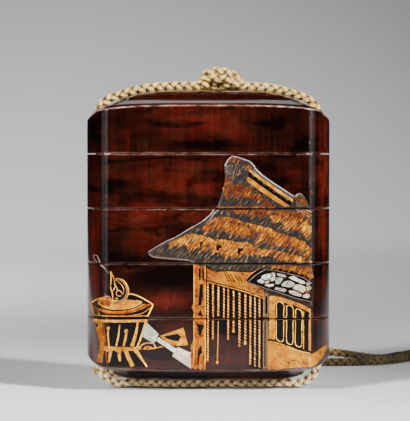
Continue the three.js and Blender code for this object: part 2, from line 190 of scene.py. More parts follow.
def lacqueredWood():
    # tame-nuri: polished translucent lacquer over red. Gives the eye a deep wet gloss, with the red
    # ground glowing through in clouds and brush streaks, and pale rubbed arrises.
    facts = lacquerFacts
    material, tree = newMaterial("lacqueredWood")
    clouds = noiseAt(tree, (0.08, 0.08, 0.12), detail=5, roughness=0.56, distortion=0.8)
    blots = noiseAt(tree, (0.07, 0.07, 0.24), detail=4, roughness=0.5, distortion=0.8)
    brushed = noiseAt(tree, (0.09, 0.3, 0.8), detail=3, roughness=0.5, distortion=1.4)
    upright = noiseAt(tree, (0.9, 0.6, 0.06), detail=3, roughness=0.5, distortion=0.7)
    grit = noiseAt(tree, (3.2, 3.2, 3.2), detail=2)
    place = addNode(tree, "TexCoord").outputs["Object"]
    spot = addNode(tree, "SeparateXYZ", {"Vector": place}).outputs
    aside = addNode(tree, "Math", {0: spot["X"]}, operation="ABSOLUTE")

    glow = addNode(tree, "Math", {0: clouds, 1: 0.6, 2: 0.09}, operation="MULTIPLY_ADD")
    streaky = addNode(tree, "MapRange", {      # the ends were brushed more boldly than the front
        "Value": aside, "From Min": 25 * mm, "From Max": 28.5 * mm, "To Min": 0.34, "To Max": 0.95})
    glow = stirred(tree, glow, upright, streaky)
    for x, z, halfX, halfZ, strength in facts["patches"]:
        away = addNode(tree, "Mapping", {
            "Vector": place, "Location": (-x / halfX, 0, -z / halfZ),
            "Scale": (1 / (halfX * mm), 0, 1 / (halfZ * mm))})
        reach = addNode(tree, "VectorMath", {0: away}, operation="LENGTH")
        near = addNode(tree, "MapRange", {
            "Value": reach, "From Min": 1.4, "From Max": 0.0, "To Min": 0, "To Max": strength},
            interpolation_type="SMOOTHSTEP")
        glow = addNode(tree, "Math", {0: glow, 1: near}, operation="ADD")
    behind = addNode(tree, "MapRange", {       # the plain back shows more of its red ground
        "Value": spot["Y"], "From Min": 2 * mm, "From Max": 8 * mm, "To Min": 0, "To Max": 0.13})
    glow = addNode(tree, "Math", {0: glow, 1: behind}, operation="ADD")
    glow = stirred(tree, stirred(tree, glow, brushed, 0.2), grit, 0.14)
    dark = addNode(tree, "ValToRGB", {"Fac": blots}, [(0.34, 0.24), (0.5, 0.0)])
    glow = addNode(tree, "Math", {0: glow, 1: dark}, operation="SUBTRACT")
    colour = addNode(tree, "ValToRGB", {"Fac": glow}, [
        (0.22, facts["night"]), (0.42, facts["brown"]), (0.68, facts["red"]), (0.92, facts["ember"])])
    drift = noiseAt(tree, (0.16, 0.16, 0.3), detail=5, roughness=0.65)        # crimson here, amber there
    tint = addNode(tree, "ValToRGB", {"Fac": drift}, [(0.4, facts["crimson"]), (0.62, facts["amber"])])
    colour = addNode(tree, "Mix", {0: 1.0, 6: colour, 7: tint}, data_type="RGBA", blend_type="MULTIPLY")

    wear = addNode(tree, "Attribute", attribute_name="wear").outputs["Fac"]
    flaking = noiseAt(tree, (0.3, 0.3, 0.7), detail=5, roughness=0.75)
    patchy = addNode(tree, "ValToRGB", {"Fac": flaking}, [(0.34, 0.3), (0.55, 1.0)])
    rubbed = addNode(tree, "Math", {0: wear, 1: patchy}, operation="MULTIPLY")
    bared = addNode(tree, "ValToRGB", {"Fac": flaking}, [
        (0.36, facts["wornDark"]), (0.52, facts["wornEdge"]), (0.66, facts["chip"])])
    colour = addNode(tree, "Mix", {0: rubbed, 6: colour, 7: bared}, data_type="RGBA")
    across = addNode(tree, "Math", {0: aside, 1: 1 / (40 * mm)}, operation="MULTIPLY")
    arris = addNode(tree, "ValToRGB", {"Fac": across}, [      # hands have dulled the two arrises
        (0.64, 0.0), (0.665, 1.0), (0.69, 0.0)])
    nicks = noiseAt(tree, (1.1, 1.1, 0.5), detail=4, roughness=0.7)
    nicks = addNode(tree, "ValToRGB", {"Fac": nicks}, [(0.61, 0.0), (0.66, 0.45)])
    chipped = addNode(tree, "Math", {0: arris, 1: nicks}, operation="MULTIPLY")
    colour = addNode(tree, "Mix", {0: chipped, 6: colour, 7: linear(facts["wornEdge"])}, data_type="RGBA")

    polish = addNode(tree, "Math", {0: grit, 1: 0.08, 2: facts["roughness"] - 0.03},
                     operation="MULTIPLY_ADD")
    for dulled, amount in ((arris, 0.16), (rubbed, 0.3)):
        polish = addNode(tree, "Math", {0: dulled, 1: amount, 2: polish}, operation="MULTIPLY_ADD")
    gloss = addNode(tree, "MapRange", {        # the underside has been dulled by what it stood on
        "Value": spot["Z"], "From Min": 5.4 * mm, "From Max": 6.6 * mm, "To Min": 0.04, "To Max": 0.3})
    higher = addNode(tree, "MapRange", {
        "Value": spot["Z"], "From Min": 8 * mm, "From Max": 24 * mm, "To Min": 0, "To Max": 0.1})
    gloss = addNode(tree, "Math", {0: gloss, 1: higher}, operation="ADD")
    dents = addNode(tree, "Math", {0: clouds, 1: 0.9}, operation="MULTIPLY")
    dents = addNode(tree, "Math", {0: brushed, 1: 0.5, 2: dents}, operation="MULTIPLY_ADD")
    relief = addNode(tree, "Bump", {"Height": dents, "Distance": 0.05 * mm, "Strength": 0.35})
    closeMaterial(tree, {"Base Color": colour, "Roughness": polish, "IOR": 1.52,
                         "Specular IOR Level": gloss, "Normal": relief})
    return material


# bright, mid and deep are the painted highlight, middle tone and painted shade of the stitches; soil is
# dirt, and painted shadow on the tails
cordColours = {"bright": "#ddb45a", "mid": "#9a7536", "deep": "#37240e", "soil": "#3b2a12",
               # the stretch under the case: a paler copy of the tones, painted light lifting it out of the
               # case's shadow
               "paintedLitPale": "#f6dda6", "straw": "#d3ad70", "shade": "#553d1e",      # the stretch under the case
               "yarns": 11}            # lines of yarn round one strand


def plaitedSilk(name, shadowSpan=None, tones=("deep", "mid", "bright")):
    # an old straw-coloured silk cord: soft, matt, with a painted highlight on each stitch's crown, the lines
    # of its yarns along it, painted shade in brown between the stitches, patches of dirt and, from one place
    # to another along x, painted shadow that darkens it ever more
    facts = cordColours
    material, tree = newMaterial(name)
    crown = addNode(tree, "Attribute", attribute_name="crown").outputs["Fac"]
    yarn = addNode(tree, "Attribute", attribute_name="yarn").outputs["Fac"]
    soil = noiseAt(tree, (0.12, 0.12, 0.12), detail=4)
    fibre = noiseAt(tree, (1.7, 1.7, 1.7), detail=3)
    lay = addNode(tree, "Math", {0: yarn, 1: 2 * math.pi * facts["yarns"]}, operation="MULTIPLY")
    lay = addNode(tree, "Math", {0: lay}, operation="SINE")
    height = stirred(tree, crown, fibre, 0.75)
    height = addNode(tree, "Math", {0: lay, 1: 0.07, 2: height}, operation="MULTIPLY_ADD")
    # the height on the cord picks the colour: painted highlight on the crowns, painted shade down between
    # the stitches
    colour = addNode(tree, "ValToRGB", {"Fac": height}, [
        (position, facts[tone]) for position, tone in zip((0.22, 0.6, 0.92), tones)])
    dustAndShadow = addNode(tree, "ValToRGB", {"Fac": soil}, [(0.42, 0.0), (0.75, 0.4)])
    if shadowSpan:
        place = addNode(tree, "TexCoord").outputs["Object"]
        along = addNode(tree, "SeparateXYZ", {"Vector": place}).outputs["X"]
        # darker from one x to another: painted shadow on the far stretch of a tail
        paintedShadow = addNode(tree, "MapRange", {
            "Value": along, "From Min": shadowSpan[0] * mm, "From Max": shadowSpan[1] * mm, "To Min": 0,
            "To Max": 0.8})
        dustAndShadow = addNode(tree, "Math", {0: dustAndShadow, 1: paintedShadow}, operation="ADD", use_clamp=True)
    colour = addNode(tree, "Mix", {0: dustAndShadow, 6: colour, 7: linear(facts["soil"])}, data_type="RGBA")
    ribs = addNode(tree, "Math", {0: lay, 1: 0.6, 2: fibre}, operation="MULTIPLY_ADD")
    relief = addNode(tree, "Bump", {"Height": ribs, "Distance": 0.08 * mm, "Strength": 0.8})
    closeMaterial(tree, {"Base Color": colour, "Roughness": 0.7, "IOR": 1.5,
                         "Sheen Weight": 0.2, "Sheen Roughness": 0.4, "Normal": relief})
    return material


view = {"eye": (0.0, -600.0, 63.0), "aim": (-0.87, 0.0, 47.1), "frameWidth": 108.4}


def placeCamera():
    eye, aim = Vector(view["eye"]) * mm, Vector(view["aim"]) * mm
    data = bpy.data.cameras.new("camera")
    data.sensor_fit = "HORIZONTAL"
    data.sensor_width = 36
    data.lens = 36 * (aim - eye).length / (view["frameWidth"] * mm)
    data.clip_start = 0.02
    data.dof.use_dof = False
    camera = bpy.data.objects.new("camera", data)
    camera.location = eye
    camera.rotation_euler = (aim - eye).to_track_quat("-Z", "Y").to_euler()
    bpy.context.scene.collection.objects.link(camera)
    bpy.context.scene.camera = camera


placeCamera()
print("inro: camera placed")


def smoothRoute(points, spacing):
    # a centripetal Catmull-Rom curve through the points, as evenly spaced points
    places = [Vector(p) for p in points]
    places = [2 * places[0] - places[1]] + places + [2 * places[-1] - places[-2]]
    dense = []
    for a, b, c, d in zip(places, places[1:], places[2:], places[3:]):
        steps = [max((q - p).length, 1e-6) ** 0.5 for p, q in ((a, b), (b, c), (c, d))]
        leave = (b - a) / steps[0] - (c - a) / (steps[0] + steps[1]) + (c - b) / steps[1]
        arrive = (c - b) / steps[1] - (d - b) / (steps[1] + steps[2]) + (d - c) / steps[2]
        leave, arrive = leave * steps[1], arrive * steps[1]
        for i in range(40):
            t = i / 40
            dense.append(b + leave * t + (-3 * b + 3 * c - 2 * leave - arrive) * t ** 2
                         + (2 * b - 2 * c + leave + arrive) * t ** 3)
    dense.append(places[-2])
    reach = [0.0]
    for p, q in zip(dense, dense[1:]):
        reach.append(reach[-1] + (q - p).length)
    count = max(2, round(reach[-1] / spacing))
    even, k = [], 0
    for i in range(count + 1):
        want = reach[-1] * i / count
        while k < len(reach) - 2 and reach[k + 1] < want:
            k += 1
        share = (want - reach[k]) / max(reach[k + 1] - reach[k], 1e-9)
        even.append(dense[k].lerp(dense[k + 1], min(max(share, 0), 1)))
    return even, reach[-1]


def frames(route, side):
    # a pair of cross directions carried along the route without twisting
    found, cross = [], Vector(side)
    for i, place in enumerate(route):
        ahead = (route[min(i + 1, len(route) - 1)] - route[max(i - 1, 0)]).normalized()
        cross = (cross - ahead * cross.dot(ahead)).normalized()
        found.append((place, cross, ahead.cross(cross)))
    return found


def addBraid(vertices, faces, marks, route, side, radius=None, squash=None, turn=0.0):
    # a round plait of four strands: two wind each way, and pass over and under by turns
    radius = radius or cordFacts["radius"]
    around, weave = radius * 0.5, radius * 0.2
    wide, thick = radius * 0.5, radius * 0.36
    along = frames(route, side)
    spacing = (route[1] - route[0]).length
    count = cordFacts["ringPoints"]
    for way in (1, -1):
        for start in (0, math.pi):
            centres = []
            for i, (place, cross, other) in enumerate(along):
                phase = 2 * math.pi * i * spacing / cordFacts["lead"]
                angle = turn + way * phase + start
                out = cross * math.cos(angle) + other * math.sin(angle)
                lift = around + way * weave * math.cos(2 * phase)
                centres.append((place + out * lift, out, place, phase))
            base = len(vertices)
            for i, (centre, out, place, phase) in enumerate(centres):
                run = (centres[min(i + 1, len(centres) - 1)][0] - centres[max(i - 1, 0)][0]).normalized()
                flank = run.cross(out).normalized()
                up = flank.cross(run)
                for k in range(count):
                    at = 2 * math.pi * k / count - math.pi / 2
                    rib = 1 + 0.09 * math.cos(6 * at + 1.3 * phase)
                    point = centre + flank * (wide * rib * math.cos(at)) + up * (thick * rib * math.sin(at))
                    height = (point - place).length / radius
                    if squash:
                        point = squash(point, place)
                    vertices.append(tuple(point))
                    # the first mark is how high the point stands on the cord, which the silk turns into
                    # painted highlight on top and painted shade below
                    marks.append((min(max((height - 0.6) / 0.42, 0), 1), k / count))
            for i in range(len(centres) - 1):
                for k in range(count):
                    a, b = base + i * count + k, base + i * count + (k + 1) % count
                    faces.append((a, b, b + count, a + count))
            faces.append(tuple(base + k for k in reversed(range(count))))
            faces.append(tuple(base + (len(centres) - 1) * count + k for k in range(count)))


def addTube(vertices, faces, marks, route, side, radius):
    # a plain round length, for the cord where it runs unseen inside the case
    base = len(vertices)
    count = 12
    for place, cross, other in frames(route, side):
        for k in range(count):
            angle = 2 * math.pi * k / count
            out = cross * (radius * math.cos(angle)) + other * (radius * math.sin(angle))
            vertices.append(tuple(place + out))
            marks.append((0.3, k / count))
    for i in range(len(route) - 1):
        for k in range(count):
            a, b = base + i * count + k, base + i * count + (k + 1) % count
            faces.append((a, b, b + count, a + count))
    faces.append(tuple(base + k for k in reversed(range(count))))
    faces.append(tuple(base + (len(route) - 1) * count + k for k in range(count)))


def cordObject(name, vertices, faces, marks, material, nodes):
    obj = makeObject(name, vertices, faces, smoothAngle=80)
    for index, title in enumerate(("crown", "yarn")):
        attribute = obj.data.attributes.new(title, "FLOAT", "POINT")
        attribute.data.foreach_set("value", [mark[index] for mark in marks])
    return finishPiece(obj, material, nodes)


floorHeight = 1.2           # the height of a cord's middle where it lies on the ground
tailOverRoute = [
    (4.5, 4, 81.4), (4.3, 8.4, 80), (4, 11.5, 77.7), (3.6, 14, 75), (3.4, 14.5, 71), (3, 14.4, 56),
    (2.5, 14.4, 38), (1.9, 14.4, 20), (1.4, 14.9, 8), (-0.6, 18.2, 2.6), (-5, 22.6, floorHeight),
    (-13, 27, floorHeight), (-21.5, 31, floorHeight), (-26.6, 35.4, floorHeight),
    (-28, 40, floorHeight), (-25.4, 44.2, floorHeight), (-17.5, 47.2, floorHeight),
    (-6, 49.6, floorHeight), (6, 52, floorHeight), (13.5, 53.6, 1.9), (19.5, 55.6, 3.5),
    (25, 58.8, 4.4), (30.5, 62.6, 4.4), (36, 65.4, 3.8), (42, 67.4, 2.9), (47.5, 70.2, 1.8),
    (52, 75, floorHeight), (56, 81.4, floorHeight), (60.4, 88, floorHeight),
    (66.4, 93, floorHeight + 0.5),
]
tailUnderRoute = [
    (1.7, 4, 81.4), (1.5, 8.4, 80), (1.2, 11.5, 77.7), (0.8, 14, 75), (0.6, 14.5, 71), (0.2, 14.4, 56),
    (-0.3, 14.4, 38), (-0.9, 14.4, 20), (-1.5, 14.8, 8), (-3.6, 17.2, 2.6), (-7.2, 20.4, floorHeight),
    (-14.6, 24.3, floorHeight), (-23.4, 28.2, floorHeight), (-29.6, 33.6, floorHeight),
    (-31.4, 40.4, floorHeight), (-27.8, 46.6, floorHeight), (-18.6, 50.2, floorHeight),
    (-6.6, 52.7, floorHeight), (5.6, 55.2, floorHeight), (17, 58.8, floorHeight),
    (28, 61.4, floorHeight), (38, 62, floorHeight), (46, 63, floorHeight), (52.4, 67, floorHeight),
    (57.4, 74, floorHeight), (62, 81.6, floorHeight), (67.4, 88, floorHeight),
    (70, 90.4, floorHeight + 0.5),
]


def plateauHeight(x, crown):
    shape = crownShape
    return case["top"] - shape["ridge"] - crown["drop"] * (abs(x) / shape["span"]) ** crown["power"]


def outsideRoute(crown):
    # half of the loop outside the case, from the channel's mouth in to the middle
    gap = 1.15               # the cord's middle above the ridge, a little sunk into its own softness
    ridge = [(x, plateauHeight(x, crown) + crownShape["ridge"] + gap) for x in (20.4, 16, 11, 5, 0)]
    return crown["mouth"] + ridge


def makeSideCord(material, side, knotEnd, node):
    vertices, faces, marks = [], [], []
    outside = outsideRoute(crowns["lid"])
    channel = inside["channelX"]
    points = [(channel, 26)] + [p for p in outside if p[0] > knotEnd + 1] + [(knotEnd, outside[-1][1])]
    route, _ = smoothRoute([(side * x, 0, case["middle"] + z) for x, z in points], cordFacts["ringStep"])
    addBraid(vertices, faces, marks, route, (0, -1, 0), turn=math.pi / 4)
    hidden, _ = smoothRoute([(side * channel, 0, case["middle"] + z) for z in (-31.7, 0, 26.4)], 4)
    addTube(vertices, faces, marks, hidden, (0, -1, 0), cordFacts["radius"] * 0.9)
    return cordObject(node, vertices, faces, marks, material, [node])


def makeUnderCord(material):
    # pressed by the weight of the case: a little flatter and wider than the rest
    vertices, faces, marks = [], [], []
    half = [(-x, 0, case["middle"] - z) for x, z in outsideRoute(crowns["foot"])]
    route, _ = smoothRoute(half + [(-x, y, z) for x, y, z in half[-2::-1]], cordFacts["ringStep"])

    def pressed(point, place):
        share = min(max((26 - abs(place.x)) / 6, 0), 1)
        height = place.z + (point.z - place.z) * (1 - 0.09 * share)
        return Vector((point.x, point.y * (1 + 0.12 * share), height))

    addBraid(vertices, faces, marks, route, (0, -1, 0), squash=pressed, turn=math.pi / 4)
    return cordObject("cord_under_case", vertices, faces, marks, material, ["cord_under_case"])


def makeTail(material, name, points, node):
    vertices, faces, marks = [], [], []
    route, length = smoothRoute(points, cordFacts["ringStep"])
    addBraid(vertices, faces, marks, route, (1, 0, 0))
    tail = cordObject(name, vertices, faces, marks, material, [node])


def makeTopKnot(material):
    # both sides of the loop cross and tie: an arch over a lump
    vertices, faces, marks = [], [], []
    strands = [
        [(-1.5, 1.2, 80.4), (-1.5, 0, 81.4), (-0.9, -0.6, 82.7), (0.6, -0.8, 83.6), (2.4, -0.8, 83.9),
         (4.4, -0.7, 83.6), (6.2, -0.5, 83.1), (7.6, -0.3, 82.2), (8.3, 0.3, 81.2), (8.1, 1.4, 80.4)],
        [(-0.8, 1.0, 81.7), (-0.5, -0.5, 82.1), (0.6, -1.3, 82.1), (2.0, -1.55, 81.9), (3.5, -1.5, 81.8),
         (4.9, -1.0, 81.9), (5.8, 0.2, 82.1), (5.7, 1.3, 82.2)],
        [(1.5, 3.2, 81), (1.3, 2.3, 82.4), (1.2, 1.1, 82.8), (1.4, 0.5, 82.0), (1.6, 0.2, 80.9),
         (1.9, 0.5, 80.2)],
        [(4.5, 3.2, 81), (4.4, 2.3, 82.4), (4.2, 1.1, 82.7), (4.0, 0.5, 81.9), (4.2, 0.2, 80.9),
         (4.3, 0.5, 80.2)],
        [(-0.6, 1.6, 80.8), (0.2, 1.3, 82.4), (2.7, 1.4, 82.9), (5.6, 1.3, 82.5), (7.2, 1.4, 81.2)],
        [(-3.2, 0, 80.3), (-1.6, -0.6, 80.4), (-0.5, -0.3, 80.4), (1.0, 1.2, 80.4), (4, 1.8, 80.4),
         (7.4, 1.4, 80.4)],
        [(9.6, 0, 80.2), (8.2, -0.9, 80.5), (6.9, -1.3, 80.6), (5.9, -0.6, 80.5), (4.6, 0.4, 80.4)],
        [(-3.6, 0.9, 79.95), (-1, 1.2, 79.85), (3, 1.3, 79.85), (7, 1.2, 79.85), (9.8, 0.9, 79.95)],
    ]
    for points in strands:
        route, _ = smoothRoute(points, cordFacts["ringStep"])
        addBraid(vertices, faces, marks, route, (0.3, 0.9, 0.2), radius=cordFacts["radius"] * 0.97)
    return cordObject("cord_knot", vertices, faces, marks, material, ["cord_knot"])


def makeEndKnot(material):
    # the two tails end together in an overhand knot
    low, high = boxMm("cord_end_knot")
    centre = [(a + b) / 2 for a, b in zip(low, high)]
    room = [(b - a) / 2 - cordFacts["radius"] for a, b in zip(low, high)]
    points, steps = [], 24
    for i in range(steps + 1):
        t = 2 * math.pi * i / steps + 0.5
        shape = ((math.sin(t) + 2 * math.sin(2 * t)) / 3,
                 (math.cos(t) - 2 * math.cos(2 * t)) / 3, -math.sin(3 * t))
        points.append([c + r * s for c, r, s in zip(centre, room, shape)])
    vertices, faces, marks = [], [], []
    route, _ = smoothRoute(points, cordFacts["ringStep"])
    addBraid(vertices, faces, marks, route, (0, 0, 1))
    return cordObject("cord_end_knot", vertices, faces, marks, material, ["cord_end_knot"])


silk = plaitedSilk("plaitedSilk")
makeSideCord(silk, -1, 1.9, "cord_left_side")
makeSideCord(silk, 1, 8.1, "cord_right_side")
# the cord under the case gets the paler tones: painted light over the case's shadow
makeUnderCord(plaitedSilk("paintedLitUnderSilk", tones=("shade", "straw", "paintedLitPale")))
makeTopKnot(silk)
endKnot = makeEndKnot(silk)
# both tails darken towards their far ends with painted shadow
makeTail(plaitedSilk("shadowedTailSilk", (34, 44)), "cord_tail_over", tailOverRoute, "cord_tail_over")
makeTail(plaitedSilk("shadowedUnderTailSilk", (22, 36)), "cord_tail_under", tailUnderRoute, "cord_tail_under")
print("inro: cords plaited")


def arcPoints(centre, radius, start, end, steps):
    angles = [start + (end - start) * i / steps for i in range(steps + 1)]
    return [(centre[0] + radius * math.cos(a), centre[1] + radius * math.sin(a)) for a in angles]


def wholeOutline(quarter):
    half = quarter + [(-x, y) for x, y in quarter[-2::-1]]
    return half + [(x, -y) for x, y in half[-2:0:-1]]


def outlineArcs():
    # the centres of an end arc, the shallow arc across the back, and the corner arc that touches both
    end = (case["halfWidth"] - case["endRadius"], 0)
    back = (0, case["halfDepth"] - case["frontRadius"])
    toEnd = case["endRadius"] - case["cornerRadius"]
    toBack = case["frontRadius"] - case["cornerRadius"]
    apart = math.hypot(end[0] - back[0], end[1] - back[1])
    along = (toBack ** 2 - toEnd ** 2 + apart ** 2) / (2 * apart)
    aside = math.sqrt(toBack ** 2 - along ** 2)
    dx, dy = (end[0] - back[0]) / apart, (end[1] - back[1]) / apart
    corner = (back[0] + along * dx + aside * dy, back[1] + along * dy - aside * dx)
    return end, back, corner


def caseOutline(outset=0.0):
    end, back, corner = outlineArcs()
    endTurn = math.atan2(corner[1] - end[1], corner[0] - end[0])
    backTurn = math.atan2(corner[1] - back[1], corner[0] - back[0])
    return wholeOutline(
        arcPoints(end, case["endRadius"] + outset, 0, endTurn, case["endSteps"])
        + arcPoints(corner, case["cornerRadius"] + outset, endTurn, backTurn, case["cornerSteps"])[1:]
        + arcPoints(back, case["frontRadius"] + outset, backTurn, math.pi / 2, case["frontSteps"])[1:])


def scaledOutline(half):
    return [(x * half[0] / case["halfWidth"], y * half[1] / case["halfDepth"]) for x, y in caseOutline()]


def oblongOutline(half, corner, grow=0.0):
    # the nearest points of a rounded oblong to the case's outline
    found = []
    for x, y in caseOutline():
        core = (min(max(x, corner - half[0]), half[0] - corner),
                min(max(y, corner - half[1]), half[1] - corner))
        away = Vector((x - core[0], y - core[1])).normalized() * (corner + grow)
        found.append((core[0] + away.x, core[1] + away.y))
    return found


def edgeHeight(x, crown):
    flat = crownShape["flatEdge"]
    middle = crown["sag"] * min(1, abs(x) / flat) ** 4
    end = crown["endDrop"] * max(0, (abs(x) - flat) / (case["halfWidth"] - flat)) ** 2
    return crown["edge"] - middle - end


def blendLoops(first, second, share):
    return [tuple(p + (q - p) * share for p, q in zip(a, b)) for a, b in zip(first, second)]


def crownLoops(crown):
    # from the arris at the top of the wall in to the ridge, each with how much it is rubbed
    def raised(outline, height):
        return [(x, y, height(x)) for x, y in outline]

    def shoulder(rise):
        return lambda x: edgeHeight(x, crown) + rise

    def plateau(rise):
        return lambda x: plateauHeight(x, crown) + rise

    shape = crownShape
    lip = raised(caseOutline(-1.6), shoulder(0.45))
    foot = raised(scaledOutline(shape["riserFoot"]),
                  lambda x: min(shoulder(crown["rise"])(x), plateau(0)(x)))
    length, depth = shape["plateau"]
    brink = raised(scaledOutline((length, depth)), plateau(-0.16))
    return [
        (raised(caseOutline(), shoulder(-1.1)), 0),
        (raised(caseOutline(), shoulder(-0.42)), 0),
        (raised(caseOutline(-0.02), shoulder(-0.2)), crown["rubbed"] * 0.5),
        (raised(caseOutline(-0.12), shoulder(-0.04)), crown["rubbed"]),
        (raised(caseOutline(-0.32), shoulder(0.06)), crown["rubbed"] * 0.5),
        (raised(caseOutline(-0.7), shoulder(0.18)), 0),
        (lip, 0),
        (blendLoops(lip, foot, 0.35), 0),
        (blendLoops(lip, foot, 0.7), 0),
        (blendLoops(lip, foot, 0.93), 0),
        (blendLoops(foot, brink, 0.08), 0),
        (blendLoops(foot, brink, 0.5), 0),
        (brink, 0.1),
        (raised(scaledOutline((length - 0.1, depth - 0.1)), plateau(-0.02)), 0.55),
        (raised(scaledOutline((length - 0.45, depth - 0.35)), plateau(0.04)), 0.1),
        (raised(scaledOutline((24.2, 4)), plateau(0.75 * shape["ridge"])), 0),
        (raised(scaledOutline((23.8, 2.4)), plateau(0.92 * shape["ridge"])), 0),
        (raised(scaledOutline((23.4, 1.2)), plateau(shape["ridge"])), 0),
    ]


def level(outline, height):
    return [(x, y, height) for x, y in outline]


def closedLoft(name, loops, wears, turned):
    # a closed skin through the loops; each end is a strip across the first or the last
    count = len(loops[0])
    vertices, wear = [], []
    for loop, worn in zip(loops, wears):
        for x, y, z in loop:
            vertices.append((x, -y, -z) if turned else (x, y, z))
            wear.append(worn)
    vertices = [(x, y, z + case["middle"]) for x, y, z in vertices]
    faces = []
    for k in range(len(loops) - 1):
        for i in range(count):
            j = (i + 1) % count
            faces.append((k * count + i, k * count + j, (k + 1) * count + j, (k + 1) * count + i))
    last = (len(loops) - 1) * count
    for i in range(count // 2):
        a, b, c, d = i, i + 1, count - i - 1, (count - i) % count
        for face in ((d, c, b, a), (last + a, last + b, last + c, last + d)):
            clean = tuple(dict.fromkeys(face))
            if len(clean) > 2:
                faces.append(clean)
    obj = makeObject(name, vertices, faces)
    places = {tuple(round(v, 3) for v in p): w for p, w in zip(vertices, wear) if w > 0}
    return obj, places


def cutChannels(obj):
    # the two bores that the cord runs through, right down the case
    cutters = []
    for x in (-inside["channelX"], inside["channelX"]):
        bpy.ops.mesh.primitive_cylinder_add(vertices=32, radius=inside["channelRadius"] * mm,
                                            depth=120 * mm, location=(x * mm, 0, case["middle"] * mm))
        cutters.append(bpy.context.object)
        cut = obj.modifiers.new("channel", "BOOLEAN")
        cut.operation, cut.solver, cut.object = "DIFFERENCE", "EXACT", cutters[-1]
    bpy.context.view_layer.update()
    result = bpy.data.meshes.new_from_object(obj.evaluated_get(bpy.context.evaluated_depsgraph_get()))
    obj.modifiers.clear()
    obj.data = result
    for cutter in cutters:
        bpy.data.objects.remove(cutter)


def casePiece(name, loopsAndWear, material, turned=False):
    loops, wears = [loop for loop, _ in loopsAndWear], [wear for _, wear in loopsAndWear]
    obj, places = closedLoft(name, loops, wears, turned)
    cutChannels(obj)
    smoothShade(obj.data, 32)
    attribute = obj.data.attributes.new("wear", "FLOAT", "POINT")
    for i, vertex in enumerate(obj.data.vertices):
        key = tuple(round(v / mm, 3) for v in vertex.co)
        attribute.data[i].value = places.get(key, 0)
    return finishPiece(obj, material, [name])


def rimUp(low, worn=0.4):
    # the lower rim and arris of a wall: from inside the rim out and up, from a height
    return [(level(caseOutline(-0.2), low), 0.1), (level(caseOutline(-0.06), low + 0.015), worn),
            (level(caseOutline(-0.01), low + 0.06), worn), (level(caseOutline(), low + 0.14), worn * 0.3),
            (level(caseOutline(), low + 0.5), 0)]


def rimDown(high, worn):
    return [(level(caseOutline(), high - 0.6), 0), (level(caseOutline(), high - 0.2), 0),
            (level(caseOutline(-0.01), high - 0.09), worn), (level(caseOutline(-0.08), high - 0.02), worn),
            (level(caseOutline(-0.25), high), worn * 0.3)]


def collarLoops(top):
    # the collar out of the rim at a height, up, over its lip and down inside it
    half, corner, wall, ease = inside["collar"], inside["corner"], inside["wall"], inside["ease"]
    lip = top + inside["collarLength"]
    outer = oblongOutline(half, corner)
    eased = oblongOutline(half, corner, -ease)
    inner = oblongOutline(half, corner, -wall)
    return [(level(outer, top), 0), (level(outer, lip - ease), 0), (level(eased, lip), 0.5),
            (level(oblongOutline(half, corner, -wall + ease), lip), 0.5), (level(inner, lip - ease), 0)]


def makeLid(material):
    low = seams[0] - case["middle"] + case["seamGap"] / 2
    socket = oblongOutline(inside["collar"], inside["corner"], inside["gap"])
    deep = oblongOutline(inside["deepHalf"], inside["corner"])
    eased = oblongOutline(inside["collar"], inside["corner"], inside["gap"] + inside["ease"])
    hollow = [(level(deep, inside["deepHollow"]), 0), (level(deep, inside["hollow"]), 0),
              (level(socket, inside["hollow"]), 0), (level(socket, low + inside["ease"]), 0),
              (level(eased, low), 0)]
    return casePiece("lid", hollow + rimUp(low) + crownLoops(crowns["lid"]), material)


def makeFoot(material):
    # the crown turned over, with the collar on top: built upside down and turned
    low = case["middle"] - seams[3] + case["seamGap"] / 2
    top = collarLoops(seams[3] - case["middle"] - case["seamGap"] / 2)
    turnedTop = [([(x, y, -z) for x, y, z in loop], wear) for loop, wear in top]
    inner = oblongOutline(inside["collar"], inside["corner"], -inside["wall"])
    deep = oblongOutline(inside["deepHalf"], inside["corner"])
    hollow = [(level(deep, inside["deepHollow"]), 0), (level(deep, inside["hollow"]), 0),
              (level(inner, inside["hollow"]), 0)]
    rim = rimUp(low, case["rubbed"][3])
    loops = hollow + turnedTop[::-1] + rim + crownLoops(crowns["foot"])
    return casePiece("compartment_4", loops, material, turned=True)


def makeCompartment(number, material):
    low = seams[number] - case["middle"] + case["seamGap"] / 2
    high = seams[number - 1] - case["middle"] - case["seamGap"] / 2
    ceiling = low + inside["collarLength"] + inside["gap"]
    half, corner = inside["collar"], inside["corner"]
    socket = oblongOutline(half, corner, inside["gap"])
    inner = oblongOutline(half, corner, -inside["wall"])
    eased = oblongOutline(half, corner, inside["gap"] + inside["ease"])
    loops = [(level(socket, ceiling), 0), (level(socket, low + inside["ease"]), 0),
             (level(eased, low), 0)]
    loops += rimUp(low, 0.15) + rimDown(high, case["rubbed"][number - 1]) + collarLoops(high)
    loops.append((level(inner, ceiling + inside["floor"]), 0))
    return casePiece(f"compartment_{number}", loops, material)


lacquer = lacqueredWood()
makeLid(lacquer)
for number in (1, 2, 3):
    makeCompartment(number, lacquer)
makeFoot(lacquer)
print("inro: case shells made")


def onFront(x, z, lift):
    # the point of the case's front straight behind a place in the picture, raised off the surface
    end, back, corner = outlineArcs()
    side = abs(x)
    bend = case["cornerRadius"]
    cornerStart = corner[0] + (corner[0] - back[0]) / (case["frontRadius"] - bend) * bend
    cornerEnd = corner[0] + (corner[0] - end[0]) / (case["endRadius"] - bend) * bend
    if side < cornerStart:
        centre, radius = back, case["frontRadius"]
    elif side < cornerEnd:
        centre, radius = corner, bend
    else:
        centre, radius = end, case["endRadius"]
    nx = min((side - centre[0]) / radius, 1)
    ny = math.sqrt(1 - nx * nx)
    y = centre[1] + radius * ny
    return (math.copysign(side + nx * lift, x), -(y + ny * lift), z)


